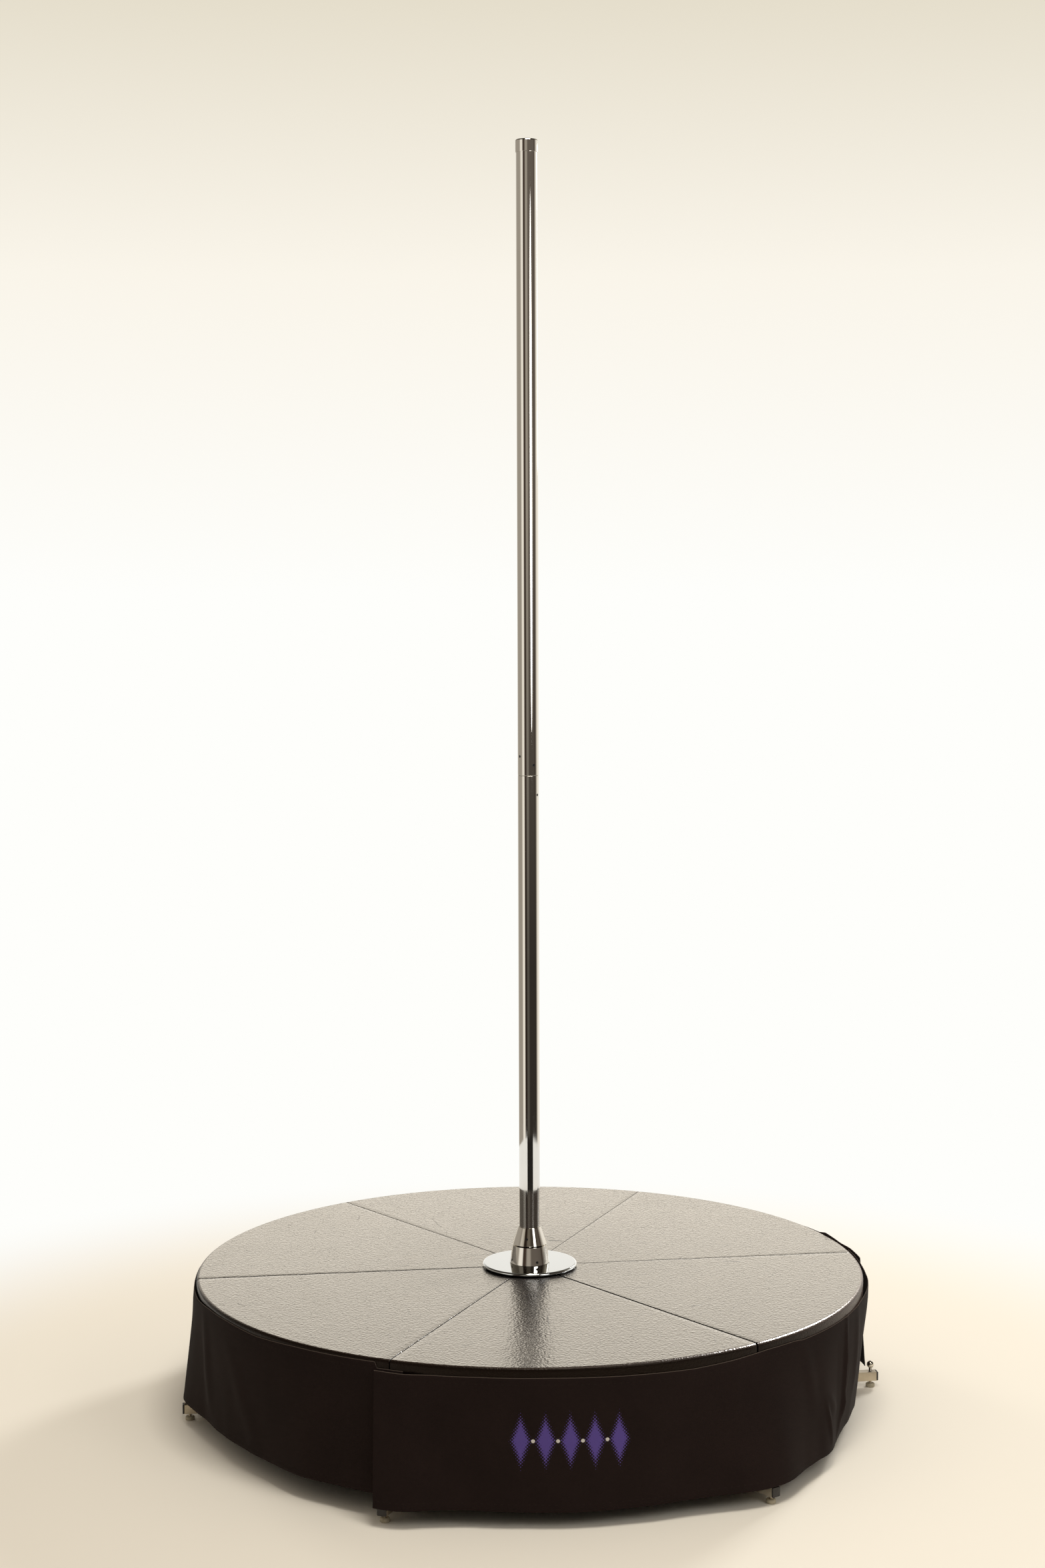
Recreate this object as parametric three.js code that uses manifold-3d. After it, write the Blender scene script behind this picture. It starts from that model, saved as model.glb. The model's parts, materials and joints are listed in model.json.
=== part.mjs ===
// A free-standing dance pole. A chromed pole in two lengths turns in two bearings in the hub of a round stage.
// Six wedge panels lie on six radial legs with levelling feet, and a cloth skirt in three panels hides the legs.
// Millimetres, +Z up. The origin is on the floor, on the pole's axis, and +X runs along the first leg.

import * as THREE from "three";
import { mergeVertices } from "three/addons/utils/BufferGeometryUtils.js";
import Module from "manifold-3d";

const wasm = await Module();
wasm.setup();

// Clearances that many pieces share
const seatGap = 0.3; // between a piece and the one that it rests on
const runningGap = 0.3; // round a piece that turns, slides or is screwed in another
const cutOverrun = 5; // how far a cutting shape passes the faces that it cuts

// Counts
const roundSegments = 28;
const innerSegments = 20; // round what is hidden in the hub and the pole
const smallRoundSegments = 12;
const flangeSegments = 48;
const deckSegments = 72;
const noseSegments = 4;
const edgeSegments = 2;
const grooveSegments = 3;
const knobSegments = 6;
const ballSegments = 6;
const ballRows = 4;
const legCount = 6;
const legPostCount = 4;
const skirtPanelCount = 3;
const skirtColumns = 54;
const skirtRows = 4;

// Pole
const poleDiameter = 50;
const poleWall = 2;
const tubeLength = 1485;
const joinerLength = 200;
const joinerWall = 4;
const joinerFarHole = 46; // from the joint to the far screw of each tube
const joinerNearHole = 25.4; // from the joint to the near screw of each tube
const joinerScrewTurns = [-152, -67, -39, 51]; // degrees round the pole: upper far, upper near, lower far, near
const capWall = 1.2;
const capCrown = 4;
const capHeight = 30;
const capEdgeRadius = 1.5;

// Grub screws
const grubDiameter = 6;
const grubSocketWidth = 3; // across the hexagon's corners
const grubSocketDepth = 3;
const joinerScrewRecess = 0.6;
const coneScrewRecess = 4;
const collarScrewTurn = -110; // degrees
const lockScrewTurns = [-75.5, -165.5]; // degrees
const lockScrewLength = 14;
const lockScrewTravel = 3;
const lockScrewRise = 8; // from the lower cone's foot to the screws' axis

// Cones and flange
const coneFootDiameter = 96;
const coneMiddleDiameter = 82;
const coneTopDiameter = 54;
const lowerConeHeight = 42.6;
const collarHeight = 42;
const spinGapHeight = 2.5;
const housingSpigotDiameter = 90;
const bearingPocketDepth = 26;
const spacerWall = 4; // of the sleeve under the upper bearing
const coneBoreGap = 1.5; // between the fixed cone and the turning pole
const flangeDiameter = 228;
const flangeThickness = 6;
const flangeEdgeRadius = 2;
const gasketThickness = 3;
const gasketInset = 8; // how far the gasket stays inside the flange's rim
const gasketWidth = 12;

// Bearings: bore, outside diameter, width and number of balls
const upperBearing = { bore: poleDiameter, outside: 80, width: 16, balls: 12 };
const lowerBearing = { bore: 25, outside: 52, width: 15, balls: 9 };
const ballDiameterShare = 0.55; // of the ring section from bore to outside
const shoulderShare = 0.6; // how much of the ball's radius stands clear between the rings' shoulders
const cageThickness = 1.6;
const cageHeight = 3;

// Plug in the foot of the pole
const plugLength = 60;
const plugShoulderThickness = 6.4;
const plugStepHeight = 3;
const plugStepWidth = 3.5;
const circlipThickness = 1.5;
const circlipWidth = 3;
const circlipOpeningAngle = 60; // degrees
const stubTail = 1.7; // how far the stub shaft passes its circlip

// Hub
const hubTubeDiameter = 76;
const hubTubeWall = 3;
const hubPlateDiameter = 184;
const hubBaseDiameter = 240;
const hubPlateThickness = 6;
const hubTopBoreGap = 3; // round the pole, in the top plate
const bearingLedgeHeight = 3;
const bearingLedgeWidth = 8.5;
const bearingCupRim = 2; // how far the cup stands above its bearing

// Deck
const deckDiameter = 1600;
const deckHeight = 341; // top of the deck above the floor
const deckThickness = 36;
const deckBullnose = 12;
const deckBottomChamfer = 3;
const deckSeamWidth = 1;
const deckCentreGap = 1; // from the hub's top plate to the panels' tips

// Legs
const railSize = 22;
const railWall = 2;
const railFloorGap = 17;
const railOverhang = 37; // from the deck's rim out to the face of leg 4's end cap
const legPullOut = 32; // how much further out leg 1 stands than leg 4, which is opposite
const outerPostInset = 100; // from the face of an end cap to the outer post
const endCapThickness = 4;
const endCapBevel = 1;
const endCapPlugLength = 5;

// Feet
const footInset = 17.5; // from the face of an end cap to the screw's axis
const footScrewDiameter = 8;
const footBushDiameter = 14;
const footBallDiameter = 18;
const footBallHeight = 56; // centre of the ball above the floor
const footPadDiameter = 22;
const footPadHeight = 10;
const footPadEdge = 1.5;
const footPadCrownInset = 2.5;
const footSocketDepth = 4;

// Skirt
const skirtThickness = 1.6;
const skirtTopDrop = 20; // from the deck's top to the skirt's top edge
const skirtHemGap = 1.5; // from the rails' tops to the lowest hem over a leg
const frontHemLift = 0;
const backHemLift = 20;
const leftHemLift = 12;
const skirtHemDroop = 4; // how much lower the hem hangs between two legs
const skirtOverlapLength = 64; // along the rim, where one panel lies over the next
const skirtOverlapLift = 4; // how far the upper panel stands off the lower one
const skirtFlare = 60; // how far the hem stands out at a share of 1
const skirtFoldDepth = 8;
const skirtTableStep = 15; // degrees from one share to the next, from a panel's first edge
const frontFlareShares = [0.92, 0.6, 0.98, 0.98, 1.05, 0.6, -0.07, -0.17, -0.1];
const backFlareShares = [0.45, 0.17, 0.17, 0.67, 1.07, 0.83, 0.92, 0.67, 0.8];
const leftFlareShares = [0.8, 0.58, 0.33, 0.5, 0.58, 0.33, 0.1, 0.47, 0.77];
const frontFoldShares = [0.3, 0.25, 0.2, 0.25, 0.3, 0.7, 1, 1, 1];
const backFoldShares = [1, 1, 1, 0.7, 0.4, 0.4, 0.4, 0.4, 0.4];
const leftFoldShares = [0.4, 0.45, 0.5, 0.45, 0.4, 0.45, 0.5, 0.4, 0.3];
const skirtFoldCount = 24; // round the whole stage

// Heights and radii that several pieces share
const poleRadius = poleDiameter / 2;
const deckRadius = deckDiameter / 2;
const deckUnderside = deckHeight - deckThickness;
const railTop = railFloorGap + railSize;
const basePlateTop = railFloorGap - seatGap;
const bearingLedgeTop = basePlateTop + bearingLedgeHeight;
const lowerBearingHeight = bearingLedgeTop + seatGap;
const lowerBearingTop = lowerBearingHeight + lowerBearing.width;
const plugStepTop = lowerBearingTop + seatGap + plugStepHeight;
const plugShoulderTop = plugStepTop + plugShoulderThickness;
const lowerTubeHeight = plugShoulderTop + seatGap;
const jointHeight = lowerTubeHeight + tubeLength;
const poleTop = jointHeight + seatGap + tubeLength;
const hubPlateTop = deckUnderside + hubPlateThickness;
const housingFoot = hubPlateTop + seatGap;
const pocketRoof = housingFoot + bearingPocketDepth;
const upperBearingHeight = pocketRoof - seatGap - upperBearing.width;
const gasketHeight = deckHeight + seatGap;
const flangeHeight = gasketHeight + gasketThickness + seatGap;
const coneFoot = flangeHeight + flangeThickness + seatGap;
const lowerConeTop = coneFoot + lowerConeHeight;
const collarFoot = lowerConeTop + spinGapHeight;
const grubHoleDiameter = grubDiameter + 2 * runningGap;
const legStart = hubTubeDiameter / 2 + seatGap;
const legReach = deckRadius + railOverhang;
const railEnd = legReach - endCapThickness - seatGap;
const footRadius = legReach - footInset;

// Finishes: colour, metalness and roughness
const chrome = { color: 0xdcdcde, metalness: 1, roughness: 0.08 };
const brightSteel = { color: 0xb9b0a2, metalness: 1, roughness: 0.32 };
const darkSteel = { color: 0x4a4a4c, metalness: 1, roughness: 0.4 };
const bearingSteel = { color: 0xc4c6c8, metalness: 1, roughness: 0.2 };
const paintedSteel = { color: 0x26262a, metalness: 0.3, roughness: 0.5 };
const deckBoard = { color: 0x17140f, metalness: 0, roughness: 0.45 };
const blackRubber = { color: 0x101010, metalness: 0, roughness: 0.85 };
const blackPlastic = { color: 0x141110, metalness: 0, roughness: 0.5 };
const padPlastic = { color: 0xb3aa92, metalness: 0, roughness: 0.7 };
const skirtCloth = { color: 0x1d1614, metalness: 0, roughness: 0.95 };

const degrees = THREE.MathUtils.degToRad;

// The radius of a faceted hole whose flats, not its corners, keep the wanted radius.
function bored(radius, segments = roundSegments) {
  return radius / Math.cos(Math.PI / segments);
}

// A geometry as a solid: vertices merged, slivers on the axis dropped, and faces turned outwards.
function solidOf(geometry) {
  const plain = geometry.index ? geometry.toNonIndexed() : geometry.clone();
  plain.deleteAttribute("uv");
  plain.deleteAttribute("normal");
  const merged = mergeVertices(plain);
  const place = merged.attributes.position;
  const corner = [new THREE.Vector3(), new THREE.Vector3(), new THREE.Vector3()];
  const faces = [];
  let volume = 0;
  for (let i = 0; i < merged.index.count; i += 3) {
    const face = [0, 1, 2].map((k) => merged.index.getX(i + k));
    if (new Set(face).size < face.length) continue;
    face.forEach((vertex, k) => corner[k].fromBufferAttribute(place, vertex));
    volume += corner[0].dot(corner[1].clone().cross(corner[2]));
    faces.push(face);
  }
  const outward = volume < 0 ? faces.map((face) => face.reverse()) : faces;
  return new wasm.Manifold(
    new wasm.Mesh({
      numProp: 3,
      vertProperties: new Float32Array(place.array),
      triVerts: new Uint32Array(outward.flat()),
    }),
  );
}

// A solid as a geometry that draws flat facets.
function geometryOf(solid) {
  const found = solid.getMesh();
  const geometry = new THREE.BufferGeometry();
  geometry.setAttribute("position", new THREE.BufferAttribute(new Float32Array(found.vertProperties), 3));
  geometry.setIndex(new THREE.BufferAttribute(new Uint32Array(found.triVerts), 1));
  const flat = geometry.toNonIndexed();
  flat.computeVertexNormals();
  return flat;
}

function join(...geometries) {
  return geometryOf(geometries.map(solidOf).reduce((whole, next) => whole.add(next)));
}

function cut(geometry, ...tools) {
  return geometryOf(tools.map(solidOf).reduce((rest, tool) => rest.subtract(tool), solidOf(geometry)));
}

function common(a, b) {
  return geometryOf(solidOf(a).intersect(solidOf(b)));
}

// A profile of [radius, height] points turned about the vertical axis. It closes on itself or ends on the axis.
function turned(profile, segments = roundSegments) {
  const onAxis = profile[0][0] === 0 && profile.at(-1)[0] === 0;
  const points = onAxis ? profile : [...profile, profile[0]];
  const lathe = new THREE.LatheGeometry(points.map(([r, z]) => new THREE.Vector2(r, z)), segments);
  lathe.rotateX(Math.PI / 2);
  return geometryOf(solidOf(lathe));
}

// A plain tube standing between two heights.
function tube(outerRadius, innerRadius, low, high, segments = roundSegments) {
  const hole = bored(innerRadius, segments);
  return turned([[hole, low], [outerRadius, low], [outerRadius, high], [hole, high]], segments);
}

function box([x0, x1], [y0, y1], [z0, z1]) {
  const block = new THREE.BoxGeometry(x1 - x0, y1 - y0, z1 - z0);
  return block.translate((x0 + x1) / 2, (y0 + y1) / 2, (z0 + z1) / 2);
}

// A rod along +X from one distance to another, at a height, then turned about the vertical axis.
function radialRod(radius, from, to, height, turn, segments = smallRoundSegments) {
  const rod = new THREE.CylinderGeometry(radius, radius, to - from, segments);
  rod.rotateZ(-Math.PI / 2);
  rod.translate((from + to) / 2, 0, height);
  return rod.rotateZ(degrees(turn));
}

// Points of an arc about a centre, from one angle to another in degrees.
function arc([x, y], radius, from, to, steps) {
  return Array.from({ length: steps + 1 }, (_, i) => {
    const angle = degrees(from + ((to - from) * i) / steps);
    return [x + radius * Math.cos(angle), y + radius * Math.sin(angle)];
  });
}

// A value read from a table at a place counted in entries, smoothed between them and flat beyond its ends.
function tableValue(shares, place) {
  const within = Math.min(Math.max(place, 0), shares.length - 1);
  const entry = Math.min(Math.floor(within), shares.length - 2);
  const blend = (1 - Math.cos(Math.PI * (within - entry))) / 2;
  return shares[entry] * (1 - blend) + shares[entry + 1] * blend;
}

function smoothStep(value) {
  const t = Math.min(Math.max(value, 0), 1);
  return t * t * (3 - 2 * t);
}

function piece(name, geometry, finish) {
  const mesh = new THREE.Mesh(geometry, new THREE.MeshStandardMaterial(finish));
  mesh.name = name;
  return mesh;
}

// A hexagon-socket grub screw lying along +X, its socket in the outer end, turned about the vertical axis.
function grubScrew(inner, outer, height, turn) {
  const body = radialRod(grubDiameter / 2, inner, outer, height, turn);
  const socketFloor = outer - grubSocketDepth;
  const socket = radialRod(grubSocketWidth / 2, socketFloor, outer + cutOverrun, height, turn, 6);
  return cut(body, socket);
}

function grubHole(inner, outer, height, turn) {
  return radialRod(bored(grubHoleDiameter / 2, smallRoundSegments), inner, outer, height, turn);
}

// The joint's four screws: height above or below the joint, and their turn round the pole.
const joinerScrews = [joinerFarHole, joinerNearHole, -joinerFarHole, -joinerNearHole].map((rise, k) => ({
  height: jointHeight + rise,
  turn: joinerScrewTurns[k],
}));
const tubeBore = poleRadius - poleWall;
const joinerRadius = tubeBore - runningGap;

function joinerScrewHoles() {
  const inner = joinerRadius - joinerWall - cutOverrun;
  return joinerScrews.map(({ height, turn }) => grubHole(inner, poleRadius + cutOverrun, height, turn));
}

function poleTube(low) {
  return cut(tube(poleRadius, tubeBore, low, low + tubeLength), ...joinerScrewHoles());
}

function tubeJoiner() {
  const low = jointHeight - joinerLength / 2;
  const sleeve = tube(joinerRadius, joinerRadius - joinerWall, low, low + joinerLength, innerSegments);
  return cut(sleeve, ...joinerScrewHoles());
}

// A shallow cup over the top of the pole, its upper edge rounded.
function topCap() {
  const outer = bored(poleRadius + runningGap) + capWall;
  const inner = bored(poleRadius + runningGap);
  const top = poleTop + seatGap + capCrown;
  return turned([
    [0, poleTop + seatGap],
    [inner, poleTop + seatGap],
    [inner, top - capHeight],
    [outer, top - capHeight],
    ...arc([outer - capEdgeRadius, top - capEdgeRadius], capEdgeRadius, 0, 90, edgeSegments),
    [0, top],
  ]);
}

// The radius of either cone's outside at a height, on the line from its foot to its top.
function coneRadiusAt(height, foot, top, footDiameter, topDiameter) {
  return (footDiameter + ((topDiameter - footDiameter) * (height - foot)) / (top - foot)) / 2;
}

const collarTop = collarFoot + collarHeight;
const collarScrewHeight = (collarFoot + collarTop) / 2 - coneScrewRecess;
const collarScrewEnd =
  coneRadiusAt(collarScrewHeight, collarFoot, collarTop, coneMiddleDiameter, coneTopDiameter) - coneScrewRecess;

function spinCollar() {
  const bore = bored(poleRadius + runningGap);
  const body = turned([
    [bore, collarFoot],
    [coneMiddleDiameter / 2, collarFoot],
    [coneTopDiameter / 2, collarTop],
    [bore, collarTop],
  ]);
  return cut(body, grubHole(poleRadius - cutOverrun, coneMiddleDiameter, collarScrewHeight, collarScrewTurn));
}

function collarScrew() {
  return grubScrew(poleRadius + seatGap, collarScrewEnd, collarScrewHeight, collarScrewTurn);
}

const lockScrewHeight = coneFoot + lockScrewRise;
const lockScrewTip = poleRadius + runningGap + lockScrewTravel;

// The fixed cone: it stands on the flange plate, and its spigot holds the upper bearing under the deck's top.
function lowerCone() {
  const spigot = housingSpigotDiameter / 2;
  const pocket = bored(upperBearing.outside / 2 + seatGap);
  const bore = bored(poleRadius + coneBoreGap);
  const body = turned([
    [spigot, housingFoot],
    [spigot, coneFoot],
    [coneFootDiameter / 2, coneFoot],
    [coneMiddleDiameter / 2, lowerConeTop],
    [bore, lowerConeTop],
    [bore, pocketRoof],
    [pocket, pocketRoof],
    [pocket, housingFoot],
  ]);
  const holes = lockScrewTurns.map((turn) => grubHole(poleRadius, coneFootDiameter, lockScrewHeight, turn));
  return cut(body, ...holes);
}

function lockScrew(turn) {
  return grubScrew(lockScrewTip, lockScrewTip + lockScrewLength, lockScrewHeight, turn);
}

function flangePlate() {
  const radius = flangeDiameter / 2;
  const bore = bored(housingSpigotDiameter / 2 + seatGap, flangeSegments);
  const top = flangeHeight + flangeThickness;
  return turned([
    [bore, flangeHeight],
    [radius, flangeHeight],
    ...arc([radius - flangeEdgeRadius, top - flangeEdgeRadius], flangeEdgeRadius, 0, 90, edgeSegments),
    [bore, top],
  ], flangeSegments);
}

function flangeGasket() {
  const radius = flangeDiameter / 2 - gasketInset;
  return tube(radius, radius - gasketWidth, gasketHeight, gasketHeight + gasketThickness);
}

// The main sizes of a ball bearing, worked out from its bore, outside and width.
function bearingSizes({ bore, outside, width }, height) {
  const ball = (ballDiameterShare * (outside - bore)) / 4;
  return {
    ball,
    groove: ball + runningGap,
    pitch: (bore + outside) / 4,
    shoulder: shoulderShare * ball,
    centre: height + width / 2,
    low: height,
    high: height + width,
  };
}

// A bearing ring whose groove faces outwards (the inner ring) or inwards (the outer ring).
function bearingRing(bearing, height, isInner) {
  const size = bearingSizes(bearing, height);
  const half = THREE.MathUtils.radToDeg(Math.acos(size.shoulder / size.groove));
  const hole = (radius) => bored(radius, innerSegments);
  const backRadius = isInner ? hole(bearing.bore / 2 + seatGap) : bearing.outside / 2;
  const shoulderRadius = isInner ? size.pitch - size.shoulder : hole(size.pitch + size.shoulder);
  const centre = [size.pitch, size.centre];
  const groove = isInner
    ? arc(centre, size.groove, 180 + half, 180 - half, grooveSegments)
    : arc(centre, size.groove, -half, half, grooveSegments).map(([r, z]) => [hole(r), z]);
  return turned([
    [backRadius, size.low],
    [shoulderRadius, size.low],
    ...groove,
    [shoulderRadius, size.high],
    [backRadius, size.high],
  ], innerSegments);
}

// The balls, held by a thin ring that runs through them.
function bearingBalls(bearing, height) {
  const { ball, pitch, centre } = bearingSizes(bearing, height);
  const half = cageHeight / 2;
  const inner = pitch - cageThickness / 2;
  const cage = tube(inner + cageThickness, inner, centre - half, centre + half, 2 * bearing.balls);
  const balls = Array.from({ length: bearing.balls }, (_, i) => {
    const shape = new THREE.SphereGeometry(ball, ballSegments, ballRows);
    shape.translate(pitch, 0, centre);
    return shape.rotateZ((2 * Math.PI * i) / bearing.balls);
  });
  return join(cage, ...balls);
}

function bearingSpacer() {
  const outer = upperBearing.outside / 2;
  return tube(outer, outer - spacerWall, housingFoot, upperBearingHeight - seatGap, innerSegments);
}

const stubRadius = lowerBearing.bore / 2;
const circlipTop = lowerBearingHeight - seatGap;

// The plug in the foot of the lower tube, with a shoulder under the tube and a stub shaft in the lower bearing.
function polePlug() {
  return turned([
    [0, circlipTop - circlipThickness - stubTail],
    [stubRadius, circlipTop - circlipThickness - stubTail],
    [stubRadius, plugStepTop - plugStepHeight],
    [stubRadius + plugStepWidth, plugStepTop - plugStepHeight],
    [stubRadius + plugStepWidth, plugStepTop],
    [poleRadius, plugStepTop],
    [poleRadius, plugShoulderTop],
    [joinerRadius, plugShoulderTop],
    [joinerRadius, plugShoulderTop + plugLength],
    [0, plugShoulderTop + plugLength],
  ], innerSegments);
}

function stubCirclip() {
  const inner = bored(stubRadius + seatGap, innerSegments);
  const outer = inner + circlipWidth;
  const half = circlipOpeningAngle / 2;
  const outline = [
    ...arc([0, 0], outer, half, 360 - half, innerSegments),
    ...arc([0, 0], inner, 360 - half, half, innerSegments),
  ];
  const shape = new THREE.Shape(outline.map(([x, y]) => new THREE.Vector2(x, y)));
  const ring = new THREE.ExtrudeGeometry(shape, { depth: circlipThickness, bevelEnabled: false });
  return ring.translate(0, 0, circlipTop - circlipThickness);
}

function hubColumn() {
  const outer = hubTubeDiameter / 2;
  const low = basePlateTop + seatGap;
  return tube(outer, outer - hubTubeWall, low, deckUnderside - seatGap, innerSegments);
}

function hubTopPlate() {
  const bore = poleRadius + hubTopBoreGap;
  return tube(hubPlateDiameter / 2, bore, deckUnderside, hubPlateTop, innerSegments);
}

// The disc under the legs, with the cup that holds the lower bearing.
function hubBasePlate() {
  const cupOuter = hubTubeDiameter / 2 - hubTubeWall - seatGap;
  const cupInner = bored(lowerBearing.outside / 2 + seatGap, innerSegments);
  const ledge = bored(lowerBearing.outside / 2 - bearingLedgeWidth, innerSegments);
  const cupTop = lowerBearingTop + bearingCupRim;
  return turned([
    [ledge, basePlateTop - hubPlateThickness],
    [hubBaseDiameter / 2, basePlateTop - hubPlateThickness],
    [hubBaseDiameter / 2, basePlateTop],
    [cupOuter, basePlateTop],
    [cupOuter, cupTop],
    [cupInner, cupTop],
    [cupInner, bearingLedgeTop],
    [ledge, bearingLedgeTop],
  ], innerSegments);
}

// The whole round deck, from which each panel takes its wedge.
function deckRing() {
  const inner = bored(hubPlateDiameter / 2 + deckCentreGap, deckSegments);
  const noseCentre = [deckRadius - deckBullnose, deckHeight - deckBullnose];
  return turned([
    [inner, deckUnderside],
    [deckRadius - deckBottomChamfer, deckUnderside],
    [deckRadius, deckUnderside + deckBottomChamfer],
    ...arc(noseCentre, deckBullnose, 0, 90, noseSegments),
    [inner, deckHeight],
  ], deckSegments);
}

// One wedge between two legs, half a seam inside each of their centre lines.
function deckPanel(ring) {
  const half = Math.PI / legCount;
  const tip = deckSeamWidth / 2 / Math.sin(half);
  const reach = deckDiameter;
  const shape = new THREE.Shape([
    new THREE.Vector2(tip, 0),
    new THREE.Vector2(tip + reach * Math.cos(half), -reach * Math.sin(half)),
    new THREE.Vector2(tip + reach * Math.cos(half), reach * Math.sin(half)),
  ]);
  const depth = deckThickness + 2 * cutOverrun;
  const wedge = new THREE.ExtrudeGeometry(shape, { depth, bevelEnabled: false });
  wedge.translate(0, 0, deckUnderside - cutOverrun);
  wedge.rotateZ(half);
  return common(ring, wedge);
}

// A welded ladder frame of square tube along +X: bottom rail, top rail and posts, all open inside to each other.
function legFrame() {
  const side = railSize / 2;
  const bore = side - railWall;
  const topRail = [deckUnderside - seatGap - railSize, deckUnderside - seatGap];
  const bottomRail = [railFloorGap, railTop];
  const topEnd = legReach - outerPostInset;
  const firstPost = legStart + side;
  const lastPost = topEnd - side;
  const posts = Array.from({ length: legPostCount }, (_, i) => {
    return firstPost + ((lastPost - firstPost) * i) / (legPostCount - 1);
  });
  const shrink = ([low, high]) => [low + railWall, high - railWall];
  const square = [-side, side];
  const hollow = [-bore, bore];
  const beyond = (end) => [legStart - cutOverrun, end + cutOverrun];
  const skins = [
    box([legStart, railEnd], square, bottomRail),
    box([legStart, topEnd], square, topRail),
    ...posts.map((x) => box([x - side, x + side], square, [bottomRail[1] - railWall, topRail[0] + railWall])),
  ];
  const bores = [
    box(beyond(railEnd), hollow, shrink(bottomRail)),
    box(beyond(topEnd), hollow, shrink(topRail)),
    ...posts.map((x) => box([x - bore, x + bore], hollow, [bottomRail[1] - cutOverrun, topRail[0] + cutOverrun])),
  ];
  const bush = new THREE.CylinderGeometry(
    footBushDiameter / 2, footBushDiameter / 2, railSize, smallRoundSegments);
  bush.rotateX(Math.PI / 2).translate(footRadius, 0, railFloorGap + side);
  const holeRadius = bored(footScrewDiameter / 2 + runningGap, smallRoundSegments);
  const hole = new THREE.CylinderGeometry(
    holeRadius, holeRadius, railSize + 2 * cutOverrun, smallRoundSegments);
  hole.rotateX(Math.PI / 2).translate(footRadius, 0, railFloorGap + side);
  return cut(join(cut(join(...skins), join(...bores)), bush), hole);
}

// A square plug for a rail's end, its face bevelled.
function endCap() {
  const side = railSize / 2;
  const flat = side - endCapBevel;
  const shape = new THREE.Shape([
    new THREE.Vector2(-flat, -flat),
    new THREE.Vector2(flat, -flat),
    new THREE.Vector2(flat, flat),
    new THREE.Vector2(-flat, flat),
  ]);
  const face = new THREE.ExtrudeGeometry(shape, {
    depth: endCapThickness - 2 * endCapBevel,
    bevelThickness: endCapBevel,
    bevelSize: endCapBevel,
    bevelSegments: 2,
  });
  face.rotateY(Math.PI / 2);
  face.translate(railEnd + seatGap + endCapBevel, 0, railFloorGap + side);
  const plug = side - railWall - seatGap;
  const faceBack = railEnd + seatGap;
  const inside = box(
    [faceBack - endCapPlugLength, faceBack + endCapThickness / 2],
    [-plug, plug],
    [railFloorGap + side - plug, railFloorGap + side + plug],
  );
  return join(face, inside);
}

// A levelling screw: a stud that stands in the pad's socket, and a ball knob on its upper end.
function footScrew() {
  const stud = footScrewDiameter / 2;
  const ball = footBallDiameter / 2;
  const foot = footPadHeight - footSocketDepth + seatGap;
  const neck = THREE.MathUtils.radToDeg(Math.asin(stud / ball));
  const knob = arc([0, footBallHeight], ball, neck - 90, 90, knobSegments).slice(0, -1);
  return turned([[0, foot], [stud, foot], ...knob, [0, footBallHeight + ball]], smallRoundSegments)
    .translate(footRadius, 0, 0);
}

function footPad() {
  const radius = footPadDiameter / 2;
  const socket = bored(footScrewDiameter / 2 + runningGap, smallRoundSegments);
  const socketFloor = footPadHeight - footSocketDepth;
  return turned([
    [0, 0],
    [radius - footPadEdge, 0],
    [radius, footPadEdge],
    [radius, footPadHeight - footPadCrownInset],
    [radius - footPadCrownInset, footPadHeight],
    [socket, footPadHeight],
    [socket, socketFloor],
    [0, socketFloor],
  ], smallRoundSegments).translate(footRadius, 0, 0);
}

const skirtPanelAngle = 360 / skirtPanelCount;
const skirtOverlapAngle = THREE.MathUtils.radToDeg(skirtOverlapLength / deckRadius);
const skirtColumnAngle = (skirtPanelAngle + skirtOverlapAngle) / skirtColumns;
const skirtRimRadius = bored(deckRadius + seatGap, 360 / skirtColumnAngle);

// The three panels: where each starts, in degrees, how much its hem is lifted, and its shares of flare and fold.
const skirtPanels = [
  ["skirt_front", -skirtPanelAngle, frontHemLift, frontFlareShares, frontFoldShares],
  ["skirt_back", 0, backHemLift, backFlareShares, backFoldShares],
  ["skirt_left", skirtPanelAngle, leftHemLift, leftFlareShares, leftFoldShares],
].map(([name, first, lift, flares, folds]) => ({ name, first, lift, flares, folds }));

// The inside of a panel at a turn in degrees: its radius at a share of the way down from top edge to hem.
// It leaves the deck's rim, leans out or is drawn in towards the hem, and its folds deepen downwards.
function skirtRadius({ first, flares, folds }, turn, downShare) {
  const place = (turn - first) / skirtTableStep;
  const flare = skirtFlare * tableValue(flares, place);
  const lean = flare < 0 ? downShare * downShare : downShare;
  const foldDepth = skirtFoldDepth * tableValue(folds, place);
  const fold = (foldDepth * (Math.cos(degrees(turn) * skirtFoldCount) - 1)) / 2;
  return skirtRimRadius + flare * lean + fold * downShare * downShare;
}

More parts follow.
